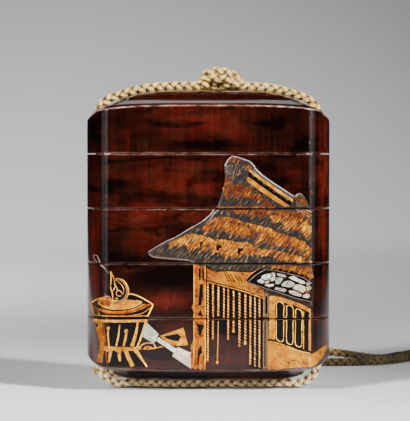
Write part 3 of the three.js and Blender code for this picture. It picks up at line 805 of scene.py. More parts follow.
picture = {"seamMargin": 0.17, "grid": 0.9, "sunk": 0.05}
inlay = {}          # vertices, faces, tones and kinds of the picture on each piece of the case
dice = random.Random(7)


def bandOf(z):
    return sum(z < seam for seam in seams)


def sheet(band, family):
    return inlay.setdefault((band, family), {"vertices": [], "faces": [], "tones": [], "kinds": []})


def familyOf(kind):
    return "pearl" if kind == "pearl" else "gold"


def addSkin(band, kind, points, faces, tones):
    into = sheet(band, familyOf(kind))
    base = len(into["vertices"])
    into["vertices"] += points
    into["tones"] += tones
    into["faces"] += [tuple(base + i for i in face) for face in faces]
    into["kinds"] += [kind] * len(faces)


def clipLevel(outline, height, keepAbove):
    # the part of an outline above or below a level line
    kept = []
    for (x0, z0), (x1, z1) in zip(outline, outline[1:] + outline[:1]):
        in0, in1 = (z0 >= height) == keepAbove, (z1 >= height) == keepAbove
        if in0:
            kept.append((x0, z0))
        if in0 != in1:
            t = (height - z0) / (z1 - z0)
            kept.append((x0 + (x1 - x0) * t, height))
    return kept


def inBands(outline):
    # an outline cut where the case comes apart
    edges = [math.inf] + seams + [-math.inf]
    for band in range(5):
        part = clipLevel(outline, edges[band] - picture["seamMargin"], False)
        if len(part) > 2:
            part = clipLevel(part, edges[band + 1] + picture["seamMargin"], True)
        if len(part) > 2:
            yield band, part


def insideOutline(x, z, outline):
    within = False
    for (x0, z0), (x1, z1) in zip(outline, outline[1:] + outline[:1]):
        if (z0 > z) != (z1 > z) and x < x0 + (z - z0) / (z1 - z0) * (x1 - x0):
            within = not within
    return within


def closely(points, spacing, closed=True):
    # the same line with points no further apart than a spacing
    found = []
    ends = points[1:] + (points[:1] if closed else [])
    for (x0, z0), (x1, z1) in zip(points, ends):
        steps = max(1, math.ceil(math.hypot(x1 - x0, z1 - z0) / spacing))
        found += [(x0 + (x1 - x0) * i / steps, z0 + (z1 - z0) * i / steps) for i in range(steps)]
    return found if closed else found + [points[-1]]


def shrunk(outline, by):
    # the outline moved inward all round
    turn = sum(x0 * z1 - x1 * z0 for (x0, z0), (x1, z1) in zip(outline, outline[1:] + outline[:1]))
    sign = 1 if turn > 0 else -1
    moved = []
    for (x0, z0), (x, z), (x1, z1) in zip(outline[-1:] + outline[:-1], outline, outline[1:] + outline[:1]):
        ax, az = x1 - x0, z1 - z0
        size = math.hypot(ax, az) or 1
        moved.append((x - sign * az / size * by, z + sign * ax / size * by))
    return moved


def addPlate(kind, outline, thick, base=0.0, tone=0.5, bevel=0.0, spacing=0.45):
    # a thin raised field with an upright edge, or with a rounded one where it has a bevel
    for band, part in inBands(outline):
        rim = closely(part, spacing)
        inner = shrunk(rim, bevel) if bevel else rim
        xs, zs = [x for x, _ in inner], [z for _, z in inner]
        step = picture["grid"]
        places = list(inner)
        edge = shrunk(inner, 0.22)
        i = min(xs) + step / 2
        while i < max(xs):
            k = min(zs) + step / 2
            while k < max(zs):
                if insideOutline(i, k, edge):
                    places.append((i, k))
                k += step
            i += step
        count = len(inner)
        result = delaunay_2d_cdt([Vector(p) for p in places], [(a, (a + 1) % count) for a in range(count)],
                                 [], 0, 1e-5)
        found = [(v.x, v.y) for v in result[0]]
        faces = []
        for face in result[2]:
            x, z = (sum(found[a][axis] for a in face) / len(face) for axis in (0, 1))
            if insideOutline(x, z, inner):
                faces.append(tuple(face))
        points = [onFront(x, z, base + thick) for x, z in found]
        addSkin(band, kind, points, faces, [tone] * len(points))
        rings = [[onFront(x, z, base + thick) for x, z in inner]] if bevel else []
        if bevel:
            half = shrunk(rim, bevel * 0.35)
            rings.append([onFront(x, z, base + thick * 0.86) for x, z in half])
        rings.append([onFront(x, z, base + thick * (0.4 if bevel else 1)) for x, z in rim])
        rings.append([onFront(x, z, base - picture["sunk"]) for x, z in rim])
        skirt, quads = [p for ring in rings for p in ring], []
        for r in range(len(rings) - 1):
            for a in range(len(rim)):
                b = (a + 1) % len(rim)
                quads.append((r * len(rim) + a, (r + 1) * len(rim) + a, (r + 1) * len(rim) + b,
                              r * len(rim) + b))
        addSkin(band, kind, skirt, quads, [tone] * len(skirt))


def smoothLine(points, spacing):
    if len(points) < 3:
        return closely(points, spacing, closed=False)
    found, _ = smoothRoute([(x, z, 0) for x, z in points], spacing)
    return [(p.x, p.y) for p in found]


def addStroke(kind, points, width, height, base=0.0, tone=0.5, taper=(1, 1), spacing=0.5, twist=0):
    # a raised brush line; a twist makes it swell and thin like laid rope
    line = smoothLine(points, spacing)
    runs, run = [], []
    for x, z in line:
        clear = all(abs(z - seam) > picture["seamMargin"] for seam in seams)
        if clear and (not run or bandOf(run[-1][1]) == bandOf(z)):
            run.append((x, z))
        else:
            runs.append(run)
            run = [(x, z)] if clear else []
    runs.append(run)
    for run in runs:
        if len(run) > 1:
            addRidge(kind, run, width, height, base, tone, taper, twist)


def addRidge(kind, run, width, height, base, tone, taper, twist):
    profile = [(-0.5, -picture["sunk"]), (-0.46, height * 0.55), (0, height), (0.46, height * 0.55),
               (0.5, -picture["sunk"])]
    points, tones, reach = [], [], 0
    for i, (x, z) in enumerate(run):
        x0, z0 = run[max(i - 1, 0)]
        x1, z1 = run[min(i + 1, len(run) - 1)]
        size = math.hypot(x1 - x0, z1 - z0) or 1
        ax, az = (x1 - x0) / size, (z1 - z0) / size
        share = i / (len(run) - 1)
        local = width * (taper[0] + (taper[1] - taper[0]) * share)
        if i:
            reach += math.hypot(x - run[i - 1][0], z - run[i - 1][1])
        swell = math.cos(2 * math.pi * reach / twist) if twist else 0
        for across, up in profile:
            offset = across * local * (1 + 0.1 * swell)
            points.append(onFront(x - az * offset, z + ax * offset, base + up * (1 + 0.2 * swell)))
            tones.append(tone)
    ring = len(profile)
    faces = []
    for i in range(len(run) - 1):
        for k in range(ring - 1):
            a = i * ring + k
            faces.append((a, a + ring, a + ring + 1, a + 1))
    faces += [tuple(range(ring)), tuple(range((len(run) - 1) * ring, len(run) * ring))[::-1]]
    addSkin(bandOf(run[0][1]), kind, points, faces, tones)


def addHatch(kind, outline, angle, spacing, width, length, height, base, tone=0.5, keep=0.85, vary=0.15):
    # short parallel strokes filling an outline
    ax, az = math.cos(math.radians(angle)), math.sin(math.radians(angle))
    nx, nz = -az, ax
    reach = [x * nx + z * nz for x, z in outline]
    offset = min(reach) + spacing * dice.random()
    while offset < max(reach):
        hits = []
        for (x0, z0), (x1, z1) in zip(outline, outline[1:] + outline[:1]):
            a, b = x0 * nx + z0 * nz - offset, x1 * nx + z1 * nz - offset
            if (a > 0) != (b > 0):
                t = a / (a - b)
                hits.append((x0 + (x1 - x0) * t) * ax + (z0 + (z1 - z0) * t) * az)
        hits.sort()
        for start, stop in zip(hits[::2], hits[1::2]):
            at = start + dice.uniform(0, 0.5) * length
            while at < stop:
                until = min(at + length * dice.uniform(0.5, 1.3), stop)
                if until - at > 0.25 and dice.random() < keep:
                    lean = dice.uniform(-0.12, 0.12) * spacing
                    ends = [(ax * at + nx * (offset - lean), az * at + nz * (offset - lean)),
                            (ax * until + nx * (offset + lean), az * until + nz * (offset + lean))]
                    addStroke(kind, ends, width * dice.uniform(0.8, 1.2), height, base,
                              tone + dice.uniform(-vary, vary), (1, 0.55), spacing=0.9)
                at = until + dice.uniform(0.1, 0.5) * length
        offset += spacing * dice.uniform(0.8, 1.2)


def ragged(line, tooth, lean=(-0.62, -0.78), spacing=0.38):
    # a line with brushed straw ends hanging from it
    found = []
    for i, (x, z) in enumerate(closely(line, spacing, closed=False)):
        out = tooth * dice.uniform(0.3, 1.25) if i % 2 else tooth * dice.uniform(-0.4, 0.15)
        found.append((x + lean[0] * out, z + lean[1] * out))
    return found


def addThatch(top, bottom, tone, tooth, base, thick):
    # one brushed course of gold straw: uneven above, ragged below, with straws drawn over it
    outline = ragged(top, 0.3, (-0.3, -0.9), 0.6) + ragged(bottom[::-1], tooth)
    addPlate("thatch", outline, thick, base, tone)
    coarse = top + bottom[::-1]
    below = [(x - 0.5, z - 0.7) for x, z in bottom]
    addHatch("ink", coarse, 52, 0.8, 0.2, 0.9, 0.03, base + thick, 0.3, keep=0.4)
    addHatch("thatch", bottom + below[::-1], 52, 0.62, 0.24, 1.5, 0.08, base, tone, keep=0.6, vary=0.3)


roof = {
    "height": 0.34, "course": 0.1,
    "outline": [(-15.75, 36.55), (-15.2, 37.2), (-11.4, 39.3), (-8.3, 40.8), (-4.8, 42.9), (-2, 44.45),
                (0.4, 46.3), (1.5, 47.9), (2.4, 48.8), (3.3, 51.2), (3.9, 53.6), (4.25, 55.9), (4.0, 58.6),
                (4.6, 60.3), (6.1, 61.75), (8.65, 61.1), (11.1, 60.1), (12.1, 58.9), (14, 56.9),
                (16.5, 55.1), (19.1, 53.4), (21.9, 51.5), (22.6, 51.6), (23.7, 52.1), (25.1, 50.9),
                (26, 48.9), (26.85, 47.6), (26.9, 40), (26.9, 34), (26.75, 29.2), (25, 30.6), (20, 32.3),
                (14.8, 32.4), (10.6, 31.5), (6.4, 31.8), (1.6, 31.7), (-0.3, 32.9), (-3.9, 33.6),
                (-4.2, 34.2), (-8.3, 34.5), (-11.4, 34.8), (-14.6, 35.3), (-15.6, 35.9)],
    "courses": [
        {"tone": 0.3, "tooth": 0.8, "top": [(5.4, 54), (8, 54.2), (10.4, 53.7), (12.7, 52.2), (15.2, 50.5),
                                            (17.6, 48.6)],
         "bottom": [(4.9, 50.8), (8.3, 50.9), (10.8, 50.7), (13, 50.2), (14.4, 49.1), (17, 48.1)]},
        {"tone": 0.42, "tooth": 0.5, "top": [(4.5, 56.5), (5.9, 56.3), (6.1, 54), (5.2, 52)],
         "bottom": [(4.1, 53.6), (4.1, 51), (4.6, 50.6)]},
        {"tone": 0.33, "tooth": 0.4, "top": [(2.9, 48.5), (8, 48.75), (13, 48.6), (17.4, 48.5)],
         "bottom": [(2.6, 48.2), (8, 48.2), (13, 48.1), (17, 48)]},
        {"tone": 0.36, "tooth": 1.0, "top": [(5.5, 47.7), (12, 47.6), (19, 47.3), (23.6, 47.3), (26.2, 46)],
         "bottom": [(5.6, 47.2), (10, 46.6), (14, 46), (18, 46.3), (22, 46.2), (26.6, 44.4)]},
        {"tone": 0.62, "tooth": 1.3, "top": [(15.6, 46), (18, 46.6), (21.6, 46.9), (24.7, 45.9),
                                             (26.6, 43.4)],
         "bottom": [(16.6, 44.4), (19.1, 45.1), (20.2, 43.6), (22.4, 43.1), (24.7, 42.1), (26.6, 40.6)]},
        {"tone": 0.52, "tooth": 1.7,
         "top": [(-1.2, 43.5), (0.6, 45), (3.1, 45.9), (5.8, 45.8), (9.1, 44.6), (12.7, 43.7), (15.8, 43),
                 (18, 41.8), (21.3, 40.9), (24.7, 39.6), (26.6, 37.6)],
         "bottom": [(-1.6, 42.7), (1, 43.1), (3.5, 42.6), (6.3, 41.9), (9.1, 41.2), (11.9, 41.3),
                    (14.1, 39.7), (16, 39.9), (18.6, 38.7), (21.6, 38.6), (23.8, 37.4), (26.6, 36.2)]},
        {"tone": 0.66, "tooth": 1.6,
         "top": [(-10.6, 38.8), (-8.1, 40.2), (-6, 41.3), (-3.8, 41.4), (-1.6, 41.1), (1.1, 40.2),
                 (4.5, 39.9), (7.2, 39.4), (10.5, 39.2)],
         "bottom": [(-10.2, 38.3), (-7.8, 39), (-5.3, 38.9), (-2.6, 38.1), (0.6, 37.8), (2.8, 36.8),
                    (5, 36.4), (7.7, 35.9), (9.6, 36.3)]},
        {"tone": 0.6, "tooth": 1.0,
         "top": [(9.9, 39.2), (11.6, 38.6), (13.3, 37.5), (16.9, 37.2), (20.2, 36.5), (23, 35.9),
                 (26.7, 34.6)],
         "bottom": [(9.6, 36.3), (12, 36.1), (14.7, 35.9), (18, 35.5), (19.5, 34.9), (22.6, 34.3),
                    (26.7, 33.9)]},
        {"tone": 0.5, "tooth": 1.1, "top": [(16.2, 33.2), (20, 33.2), (24.6, 33.1), (26.75, 32.9)],
         "bottom": [(17, 32.9), (20.6, 32.4), (24.2, 31.6), (26.75, 29.8)]},
    ],
    "spikes": [(-3.4, 39, -5.1, 36.4), (-4.6, 39.2, -5.6, 37.6), (-1.4, 38, -2.6, 36.3),
               (1.8, 37, 0.9, 35.8), (-6.6, 39.4, -7.3, 38.1), (0.3, 42.8, -0.9, 41.2),
               (6.6, 42, 5.5, 40.2), (13.4, 40, 12.2, 38.6), (22.2, 38.8, 21, 36.9),
               (22.9, 38.3, 21.9, 36.2), (21.2, 43.5, 20.3, 41.8)],
    "bands": [
        [(4.4, 50.7), (13, 50.5), (16.5, 48.7), (3.4, 48.8)],
        [(2.4, 47.6), (9, 47), (16, 45.2), (20.4, 43.3), (26.6, 41.4), (26.6, 38.8), (21, 41.2),
         (15.6, 43.2), (8.6, 45), (4, 46.2), (1.4, 46)],
        [(-4.4, 42.9), (0.4, 42.9), (6.4, 41.6), (13.4, 39.7), (20, 38.1), (26.6, 36), (26.6, 34.8),
         (20, 36.6), (13, 37.6), (10, 39.3), (3, 40.1), (-3.4, 41.6)],
        [(-14.4, 36.7), (-10.6, 38.4), (-4, 38.6), (2, 37), (9, 36), (19, 34.8), (18.6, 33.9), (6, 33.9),
         (-4, 34.9), (-12, 35.7)],
        [(-0.2, 33.3), (16, 33.3), (15, 32.5), (10.6, 31.7), (6.4, 32), (1.6, 31.9)],
        [(6.2, 60.4), (9.6, 60), (10.3, 58.4), (9.9, 55.4), (8.6, 54.3), (6.3, 54.4)],
    ],
}


def paintRoof():
    # takamaki-e: the thatch stands highest of all, in grey lead and several golds
    high, course = roof["height"], roof["course"]
    addPlate("lead", roof["outline"], high, tone=0.5, bevel=0.3)
    for piece in roof["bands"]:
        addHatch("straw", piece, 52, 0.9, 0.15, 1.7, 0.05, high, 0.42, keep=0.45, vary=0.3)
    for piece in roof["courses"]:
        addThatch(piece["top"], piece["bottom"], piece["tone"], piece["tooth"], high, course)
    for x0, z0, x1, z1 in roof["spikes"]:
        addStroke("thatch", [(x0, z0), (x1, z1)], 0.6, 0.12, high, 0.62, (1, 0.3))
    for x, z, size in ((-1.8, 39.1, 0.65), (2.7, 38.1, 1.2), (8.2, 37.3, 1.2), (7.9, 44, 0.5),
                       (10.3, 43.5, 0.5)):
        notch = [(x - 0.5 * size, z + 0.3 * size), (x + 0.75 * size, z + 0.35 * size),
                 (x + 0.5 * size, z - 0.25 * size), (x + 0.1 * size, z - 0.4 * size),
                 (x - 0.1 * size, z - 1.1 * size), (x - 0.5 * size, z - 0.7 * size)]
        addPlate("ink", notch, 0.03, high + course, 0.3)
    paintRoofRims(high)
    paintRidge(high)


def addTicks(kind, line, length, spacing, width, base, tone, lean):
    # short strokes set across a line, all leaning one way
    ax, az = math.cos(math.radians(lean)), math.sin(math.radians(lean))
    for x, z in smoothLine(line, spacing):
        half = length / 2
        addStroke(kind, [(x - ax * half, z - az * half), (x + ax * half, z + az * half)], width, 0.05, base,
                  tone + dice.uniform(-0.2, 0.2), spacing=1)


def paintRoofRims(high):
    slope = [(-15.3, 36.6), (-11.2, 39.1), (-8.1, 40.55), (-4.7, 42.6), (-1.95, 44.15), (0.4, 46),
             (1.5, 47.5)]
    gable = [(2.6, 48.6), (3.5, 51), (4.15, 53.6), (4.45, 55.9)]
    eave = [(-15.3, 36.3), (-14.6, 35.6), (-11.4, 35.1), (-8.3, 34.85), (-5.5, 34.6), (-3.7, 34.1)]
    addStroke("silver", [(x - 0.12, z + 0.12) for x, z in slope], 0.22, 0.16, high, 0.62, (0.8, 1.2))
    addStroke("silver", [(x + 0.3, z - 0.4) for x, z in slope], 0.2, 0.1, high, 0.3)
    addTicks("ink", [(x + 0.3, z - 0.4) for x, z in slope[:-1]], 0.6, 0.4, 0.14, high + 0.11, 0.4, 75)
    addStroke("silver", gable, 0.17, 0.12, high, 0.2)
    addStroke("silver", [(x + 0.45, z) for x, z in gable], 0.13, 0.12, high, 0.1)
    addStroke("silver", eave, 0.55, 0.12, high, 0.3, (0.8, 0.7))
    addStroke("silver", [(-1.6, 43.9), (0.4, 44.9), (1.6, 46.6), (2.6, 47.6)], 0.2, 0.1, high, 0.4)


def paintRidge(high):
    # the ridge's cap: bound at the peak, two bamboo poles laid down the slope, a knob at the end
    cap = [(4.35, 58.9), (4.9, 60.1), (6.15, 61.35), (8.6, 60.85), (10.9, 59.9), (12, 58.7)]
    pole = [(12, 58.4), (14, 56.5), (16.5, 54.7), (19.1, 53), (22.1, 51.1)]
    addStroke("silver", cap, 0.28, 0.14, high, 0.6)
    addStroke("silver", pole, 0.24, 0.14, high, 0.7)
    addStroke("silver", [(x - 0.4, z - 0.6) for x, z in pole], 0.15, 0.1, high, 0.35)
    addTicks("ink", [(x - 0.22, z - 0.33) for x, z in pole], 0.5, 0.45, 0.13, high + 0.05, 0.3, 60)
    addTicks("gold", [(5.3, 60.3), (6.6, 60.5), (7.6, 60)], 1.3, 0.42, 0.2, high, 0.3, 62)
    addTicks("gold", [(9.2, 59.4), (10.2, 58.8), (10.7, 58.2)], 1.3, 0.4, 0.22, high, 0.22, 40)
    for i in range(5):
        z = 59.3 - 0.5 * i
        addStroke("silver", [(4.45, z), (5.2, z - 0.45), (6.3, z - 0.35)], 0.16, 0.1, high, 0.45)
    addHatch("straw", [(6.3, 60), (9.4, 59.4), (10.2, 57.4), (9.8, 54.6), (6.2, 54.6)], 78, 0.62, 0.2, 2.0,
             0.08, high, 0.22, keep=0.7, vary=0.3)
    upper = [(10.4, 57.7), (10.8, 58.0), (14.2, 55.6), (18, 53), (21.9, 50.3), (21.7, 49.7), (17.7, 52.3),
             (13.9, 54.9)]
    lower = [(10, 55.9), (10.5, 56.1), (14, 53.5), (18, 50.7), (21, 48.6), (19.8, 48.4), (16.7, 50.3),
             (13.1, 52.8), (10.1, 55.0)]
    between = [(10.4, 57.5), (13.9, 54.9), (17.8, 52.3), (21.7, 49.7), (21.2, 48.7), (17.9, 50.9),
               (13.9, 53.6), (10.5, 56.2)]
    addPlate("ink", between, 0.04, high)
    for piece, tone in ((upper, 0.8), (lower, 0.76)):
        half = len(piece) // 2
        outline = closely(piece[:half], 0.5, closed=False) + ragged(piece[half:], 0.22, (0.3, -0.9), 0.5)
        addPlate("gold", outline, 0.17, high, tone)
        addHatch("ink", piece, -34, 0.3, 0.1, 1.4, 0.03, high + 0.17, 0.3, keep=0.35)
    for x, z in ((11.6, 56.3), (13, 55.2), (14.4, 54.2), (16, 53.1), (17.2, 52.2), (18.8, 51.2),
                 (20.2, 50.2)):
        addStroke("lead", [(x - 0.35, z + 0.3), (x + 0.3, z - 0.2)], 0.5, 0.14, high + 0.03, 0.7)
    knob = [(22.5, 50.9), (23.2, 51.7), (24.2, 51.6), (25.2, 50.4), (25.7, 48.8), (24, 48.3), (22.7, 48.5)]
    addPlate("straw", knob, 0.12, high, 0.25)
    addStroke("silver", [(22.6, 51), (23.3, 51.8), (24.3, 51.6)], 0.2, 0.1, high + 0.1, 0.6)
    addTicks("ink", [(22.9, 50.4), (24, 50.2), (25.2, 49.5)], 1.7, 0.42, 0.18, high + 0.12, 0.3, 60)
    addTicks("gold", [(23.1, 50.2), (24.2, 50), (25.3, 49.2)], 1.3, 0.5, 0.2, high + 0.14, 0.35, 60)
    for i, kind in enumerate(("silver", "gold", "straw", "gold")):
        addStroke(kind, [(22.9 + 0.75 * i, 47.6), (26.6, 44.4 + 0.85 * i)], 0.22, 0.1, high, 0.3 + 0.1 * i)


house = {
    "lintel": [(-0.4, 32.5), (2.2, 31.5), (4.8, 31.7), (8.3, 31.5), (11.4, 31.3), (10.9, 30.6), (9.7, 29.3),
               (11.2, 28.5), (14.4, 26.9), (14.4, 24.9), (9.5, 26.7), (5.4, 27.7), (2.5, 28.4), (-0.4, 29)],
    "post": [(-3.8, 33.4), (-0.65, 33.4), (-0.7, 24), (-0.75, 18), (-0.7, 6.3), (-1.2, 6.1), (-1.35, 6.9),
             (-1.7, 6.2), (-2.3, 6.2), (-2.55, 7), (-3.2, 6.2), (-4.2, 6.6), (-4.6, 7), (-4.5, 12.3),
             (-4.2, 13.2), (-3.8, 14.2), (-3.85, 21.3), (-4.3, 22.2), (-4.2, 23), (-3.75, 23.3)],
    "slots": [[(-2.42, 32.4), (-1.97, 32.4), (-1.97, 29.4), (-2.42, 29.4)],
              [(-1.56, 32.1), (-1.12, 32.1), (-1.12, 29.3), (-1.56, 29.3)],
              [(-2.06, 28.4), (-1.39, 28.4), (-1.45, 25), (-1.9, 22.85), (-2.64, 22.85), (-2.35, 26)],
              [(-2.06, 21.8), (-2.8, 20.2), (-1.4, 20.1)], [(-3.0, 18.1), (-1.04, 17.7), (-2.2, 14.5)],
              [(-1.9, 12.5), (-2.7, 11.2), (-2.9, 7.6), (-2.55, 7.1), (-2.3, 9.5), (-1.9, 10.3),
               (-1.5, 10.3)],
              [(-1.45, 10.2), (-1.2, 10.2), (-1.25, 6.6), (-1.5, 6.8)],
              [(-3.9, 13.9), (-3.6, 13.9), (-3.55, 12.7), (-3.95, 12.7)]],
    "ropes": [(-0.12, 8.2, 0.55), (1.2, 13.9, 0.5), (2.6, 20, 0.55), (4.05, 19.4, 0.42), (5.15, 13.9, 0.5),
              (6.55, 16.3, 0.4), (8.07, 11.9, 0.55), (9.6, 12.9, 0.52), (10.9, 7.5, 0.52),
              (12.1, 6.9, 0.45), (13.25, 6.9, 0.5)],
    "frame": [(15.9, 25.4), (19.4, 24.9), (23.4, 23.6), (26.5, 21.8), (26.6, 10.9), (23.4, 11.9),
              (20.2, 13.0), (17, 13.9), (15.9, 14.2)],
    "glass": [(17.4, 24.0), (19.8, 23.5), (22.5, 22.7), (24.8, 21.7), (26.3, 20.9), (26.3, 11.0),
              (23.6, 11.6), (20.4, 12.8), (17.2, 13.9)],
    "panes": [[(17.65, 23.4), (18.1, 23.8), (19.1, 23.5), (19.55, 22.9), (19.5, 20), (19.45, 13.9),
               (19.2, 13.4), (17.75, 14.0), (17.6, 16), (17.65, 20)],
              [(20.3, 22.5), (20.6, 22.9), (21.6, 22.6), (22.0, 22), (21.95, 18), (21.9, 13.2),
               (21.6, 12.6), (20.45, 13.05), (20.3, 13.6), (20.3, 18)],
              [(22.65, 21.5), (23.0, 21.95), (23.9, 21.6), (24.3, 20.9), (24.25, 17), (24.2, 12.6),
               (23.9, 12.0), (22.8, 12.35), (22.6, 12.9), (22.6, 17)]],
    "bars": [[(24.72, 21.4), (24.7, 17), (24.7, 11.5)], [(26.2, 20.6), (26.15, 16), (26.15, 11.2)],
             [(17.2, 24), (17.15, 20), (17.2, 14.2)]],
    "sill": [(16.1, 13.95), (17.2, 13.95), (20.2, 13.0), (23.6, 11.7), (25.4, 10.9), (25.4, 10.5),
             (23.4, 11.2), (20.2, 12.5), (17.2, 13.4), (16.3, 13.5)],
    "panel": [(15.35, 13.5), (16.3, 13.2), (20.2, 12.1), (23.6, 10.9), (26.4, 10.2), (26.9, 10.1),
              (28.2, 10.8), (29.8, 11.7), (31, 12.4), (31.1, 11.3), (30.3, 9.7), (29, 8.2), (27.6, 7.1),
              (26.4, 6.75), (22.4, 6.6), (18.2, 6.3), (15.5, 6.1)],
}


def paintHouse():
    addPlate("ink", [(-0.8, 29), (14.4, 25.2), (14.2, 6.6), (11, 6.7), (10.4, 13), (7, 15), (2, 15.4),
                     (-0.8, 14)],
             0.015, tone=0.2)
    addPlate("sheet", house["lintel"], 0.16, tone=0.66)
    addHatch("ink", house["lintel"], -22, 0.5, 0.12, 2.4, 0.03, 0.16, keep=0.8)
    addHatch("ink", [(8.3, 31.4), (11.2, 31.2), (9.7, 29.3), (11.2, 28.5), (7.5, 28)], 38, 0.55, 0.12, 1.6,
             0.03, 0.16)
    for x in (4.3, 5, 5.7, 6.8, 7.6):
        addStroke("ink", [(x, 30.9), (x + 1.2, 28.9)], 0.22, 0.03, 0.16)
    addStroke("ink", [(-0.4, 29.2), (2.2, 28.6), (9.4, 26.7), (14.4, 24.9)], 0.24, 0.06, 0.14, tone=0.4)
    addStroke("gold", [(-0.4, 28.9), (2.2, 28.3), (9.4, 26.4), (14.4, 24.6)], 0.2, 0.1, 0.1, tone=0.8)
    addPlate("gold", house["post"], 0.15, tone=0.52)
    for slot in house["slots"]:
        addPlate("ink", slot, 0.04, 0.15)
    for x in (-3.7, -0.8):
        addStroke("gold", [(x, 33.3), (x, 24), (x, 20), (x, 8)], 0.25, 0.07, 0.15, 0.95)
    for line in ([(-2.9, 32.8), (-2.95, 24)], [(-3.4, 17.2), (-4.2, 13.9), (-4.3, 12.8), (-3.7, 12.4)],
                 [(-3.5, 12.2), (-3.2, 9.6), (-3.3, 7)], [(-3.8, 22.6), (-2.7, 23), (-1.2, 22.2)]):
        addStroke("ink", line, 0.13, 0.03, 0.15)
    paintRopes()
    addStroke("straw", [(14.9, 26.4), (14.85, 16), (14.85, 6.4)], 1.35, 0.08, tone=0.45)
    addStroke("ink", [(15.05, 25.2), (15.05, 20.6)], 0.55, 0.04, 0.08, 0.4)
    addStroke("ink", [(14.75, 18.6), (14.7, 12), (14.7, 6.9)], 0.26, 0.04, 0.08, 0.4)
    for x in (14.3, 15.5):
        addStroke("silver", [(x, 26.2), (x - 0.05, 16), (x, 6.4)], 0.17, 0.06, 0.08, 0.34)
    addStroke("gold", [(16.3, 25.2), (16.3, 20), (16.25, 14.2)], 1.2, 0.14, tone=0.78)
    paintWindow()


def paintRopes():
    # blinds of twisted cord, in gold, with a dark and a pale line drawn across at every lay
    for i, (x, low, width) in enumerate(house["ropes"]):
        high = 29 - 0.4 * i if i < 2 else 28.6 - 0.315 * (x - 1.2)
        addStroke("gold", [(x, high), (x + 0.03, (high + low) / 2), (x - 0.08, low)], width, 0.14,
                  tone=dice.uniform(0.34, 0.5), twist=0.78, taper=(1, 0.85), spacing=0.18)
        z = high - 0.3
        while z > low + 0.4:
            half = width * 0.5
            addStroke("ink", [(x - half, z + 0.24), (x + half, z - 0.24)], 0.17, 0.06, 0.12, tone=0.3)
            addStroke("gold", [(x - half * 0.8, z - 0.16), (x + half * 0.8, z - 0.6)], 0.2, 0.08, 0.13,
                      tone=0.88)
            z -= 0.78
    addStroke("straw", [(2.6, 19.2), (2.5, 14), (2.35, 8.4)], 0.25, 0.1, tone=0.8)
    for x, z in ((2.3, 8.0), (6.5, 16.1), (9.5, 13.0)):
        addPlate("gold", [(x + 0.35 * math.cos(a), z + 0.4 * math.sin(a)) for a in
                          (0, 0.8, 1.6, 2.4, 3.1, 3.9, 4.7, 5.5)], 0.16, tone=0.9)


def paintWindow():
    addPlate("sheet", house["frame"], 0.13, tone=0.74)
    addPlate("ink", house["glass"], 0.03, 0.13, tone=0.5)
    for pane in house["panes"]:
        addStroke("gold", pane + pane[:1], 0.2, 0.09, 0.14, 1.0)
    for bar in house["bars"]:
        addStroke("gold", bar, 0.22, 0.09, 0.14, 0.8)
    for z in (seams[3] + 0.42, seams[3] - 0.42):
        for left, right in ((17.2, 17.65), (19.5, 20.3), (21.95, 22.6), (24.25, 24.7)):
            addStroke("gold", [(left, z), (right, z)], 0.2, 0.09, 0.14, 0.85)
    addPlate("ink", house["sill"], 0.05, 0.13)
    addPlate("sheet", house["panel"], 0.15, tone=0.76)
    addHatch("straw", [(24.6, 10.9), (27, 10.2), (26.9, 7), (25, 6.8)], 80, 0.3, 0.16, 1.4, 0.02, 0.15,
             0.35, keep=0.7)
    addStroke("gold", [(15.9, 13.5), (17.2, 13.25), (20.2, 12.3), (23.6, 11.0), (26.4, 10.3)], 0.25, 0.06,
              0.15, 0.98)
    for line in ([(19.6, 8.6), (20.8, 8.1), (21.4, 7.6)], [(21.9, 7.9), (22.6, 7.5)],
                 [(17.4, 10.8), (18.8, 10.1)], [(24, 9.2), (24.6, 8.4), (24.9, 7.5)]):
        addStroke("ink", line, 0.12, 0.02, 0.15)


